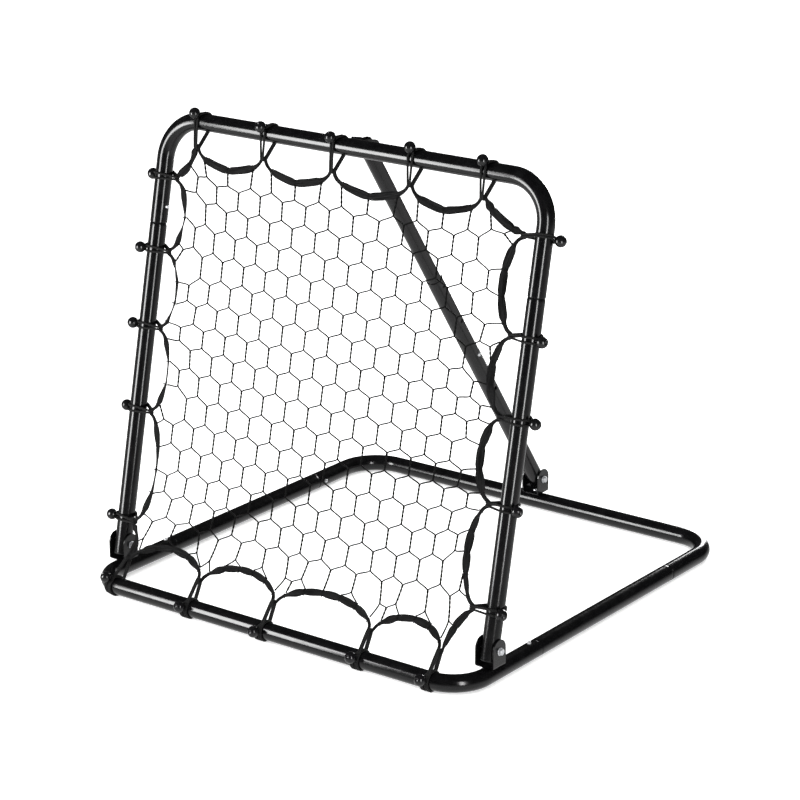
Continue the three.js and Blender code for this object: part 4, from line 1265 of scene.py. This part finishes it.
def space_ties(points, ties, links):
    """Moves the ties of each scallop to even steps along the tape."""
    used = {p for link in links for p in link[:2]}
    for k in range(COUNT):
        mine = sorted((place, p) for p, place in ties.items() if p in used and int(place) == k)
        steps = 60
        line = [scallop(k, i / steps, NET_INSET) for i in range(steps + 1)]
        lengths = [0.0]
        for a, b in zip(line, line[1:]):
            lengths.append(lengths[-1] + (b - a).length)
        for i, (_, p) in enumerate(mine):
            goal = lengths[-1] * (i + 0.5) / len(mine)
            at = next(j for j in range(steps) if lengths[j + 1] >= goal)
            share = (goal - lengths[at]) / (lengths[at + 1] - lengths[at])
            points[p] = line[at].lerp(line[at + 1], share)
            ties[p] = k + (at + share) / steps
            TIES[k].append((at + share) / steps)


def relax(points, ties, links, rounds=160):
    near = {}
    for a, b, _ in links:
        near.setdefault(a, []).append(b)
        near.setdefault(b, []).append(a)
    free = [p for p in near if p not in ties]
    for _ in range(rounds):
        for p in free:
            middle = sum((points[q] for q in near[p]), Vector((0, 0))) / len(near[p])
            points[p] = points[p].lerp(middle, 0.8)


def strand(build, path, radius=STRAND_R):
    ring = circle(radius, 6)
    points, faces, runs = sweep(path, lambda k: ring)
    build.add(points, faces, runs)


def upright_pair(build, start, end):
    """Two twines twisted together."""
    length = (end - start).length
    run = (end - start).normalized()
    aside = Vector((run.y, -run.x))
    turns = max(1, round(length / UPRIGHT_LAY))
    steps = 6 * turns
    for phase in (0, math.pi):
        path = []
        for i in range(steps + 1):
            angle = math.pi * turns * i / steps + phase
            flat = start.lerp(end, i / steps) + aside * (UPRIGHT_TWIST * math.cos(angle))
            path.append(in_legs(flat, UPRIGHT_TWIST * math.sin(angle)))
        strand(build, path, UPRIGHT_R)


def diagonal(build, start, end, leave, arrive):
    """Single twine that runs on from the uprights at its ends."""
    lead = min(6.0, (end - start).length / 4)
    first, last = start + leave * lead, end + arrive * lead
    strand(build, [in_legs(bezier(start, first, last, end, i / 8)) for i in range(9)])


def net(points, ties, links):
    build = Build()
    uprights = {}
    for a, b, upright in links:
        if upright:
            uprights[a] = (points[a] - points[b]).normalized()
            uprights[b] = (points[b] - points[a]).normalized()
    for a, b, upright in links:
        run = (points[b] - points[a]).normalized()
        if upright:
            upright_pair(build, points[a], points[b])
        else:
            diagonal(build, points[a], points[b], uprights.get(a, run), uprights.get(b, -run))
    used = {p for link in links for p in link[:2]}
    for p, place in ties.items():
        if p in used:
            tie_loop(build, place)
    stands_for(build.finish("twine_net", LEGS, [TWINE], 60), "net_frame", "net", "net")


def bezier(a, b, c, d, t):
    s = 1 - t
    return a * s ** 3 + b * (3 * s * s * t) + c * (3 * s * t * t) + d * t ** 3


def tie_loop(build, place):
    """Twine's turn round the tape where the net is tied to it."""
    k, t = int(place), place % 1
    middle = scallop(k, t)
    run = (scallop(k, t + 0.01) - scallop(k, t - 0.01)).normalized()
    aside = Vector((run.y, -run.x))
    half = KNOT_TAPE_HALF + (TAPE_HALF - KNOT_TAPE_HALF) * 0.58 * ease((min(t, 1 - t) - 0.03) / 0.14)
    path = []
    for i in range(25):
        angle = FULL_TURN * i / 24
        flat = middle + aside * ((half + TIE_CLEAR) * math.cos(angle)) + run * (i / 24 - 0.5)
        path.append(in_legs(flat, TIE_HEIGHT * math.sin(angle)))
    strand(build, path, TIE_R)


graph = net_graph()
tape()
net(*graph)

# ------------------------------------------------------------ CAD node that stays: the rear screw

for node in frame["nodes"].values():
    if not node.hide_render:
        node.data.materials.clear()
        node.data.materials.append(ZINC)

# ------------------------------------------------------------ floor and light


def floor():
    mesh = bpy.data.meshes.new("floor")
    size = 40
    corners = [(-size, -size, 0), (size, -size, 0), (size, size, 0), (-size, size, 0)]
    mesh.from_pydata(corners, [], [(0, 1, 2, 3)])
    made = Finish("pale_floor", (0.96, 0.96, 0.96), 0.9, Specular_IOR_Level=0.0, Emission_Strength=0.4)
    made.shader.inputs["Emission Color"].default_value = (1, 1, 1, 1)
    made.gloss(3, 2, 0.85, 0.95)
    mesh.materials.append(made.material)
    piece = shown("floor", mesh)
    piece.visible_glossy = False


def softbox(name, azimuth, distance, height, size, power):
    """Rectangular light that faces the object; azimuth 0 is in front of the net."""
    data = bpy.data.lights.new(name, "AREA")
    data.shape = "RECTANGLE"
    data.size, data.size_y = size
    data.energy = power
    lamp = shown(name, data)
    angle = math.radians(azimuth)
    spot = Vector((math.sin(angle) * distance, -math.cos(angle) * distance, height))
    aim = Vector((0, 0, 0.5)) - spot
    lamp.matrix_world = Matrix.Translation(spot) @ aim.to_track_quat("-Z", "Y").to_matrix().to_4x4()


def studio():
    world = bpy.data.worlds.new("studio")
    world.use_nodes = True
    nodes, links = world.node_tree.nodes, world.node_tree.links
    split = nodes.new("ShaderNodeSeparateXYZ")
    links.new(nodes.new("ShaderNodeTexCoord").outputs["Generated"], split.inputs[0])
    fade = nodes.new("ShaderNodeMapRange")
    for socket, value in zip(fade.inputs[1:5], (-0.4, 0.05, 0.8, 0.03)):
        socket.default_value = value
    links.new(split.outputs["Z"], fade.inputs[0])
    links.new(fade.outputs[0], nodes["Background"].inputs["Strength"])
    nodes["Background"].inputs["Color"].default_value = (1, 1, 1, 1)
    bpy.context.scene.world = world
    sun = bpy.data.lights.new("overhead", "SUN")
    sun.energy, sun.angle = 4.5, math.radians(130)
    lamp = shown("overhead", sun)
    lamp.visible_glossy = False
    lamp.rotation_euler = (math.radians(12), math.radians(-10), 0)
    softbox("left_softbox", -34, 2.8, 0.75, (0.8, 1.5), 70)
    softbox("right_softbox", 55, 3.0, 0.9, (0.45, 1.8), 42)
    softbox("rear_softbox", 190, 3.0, 0.7, (0.7, 1.4), 40)
    bpy.context.scene.view_settings.view_transform = "Standard"


floor()
studio()
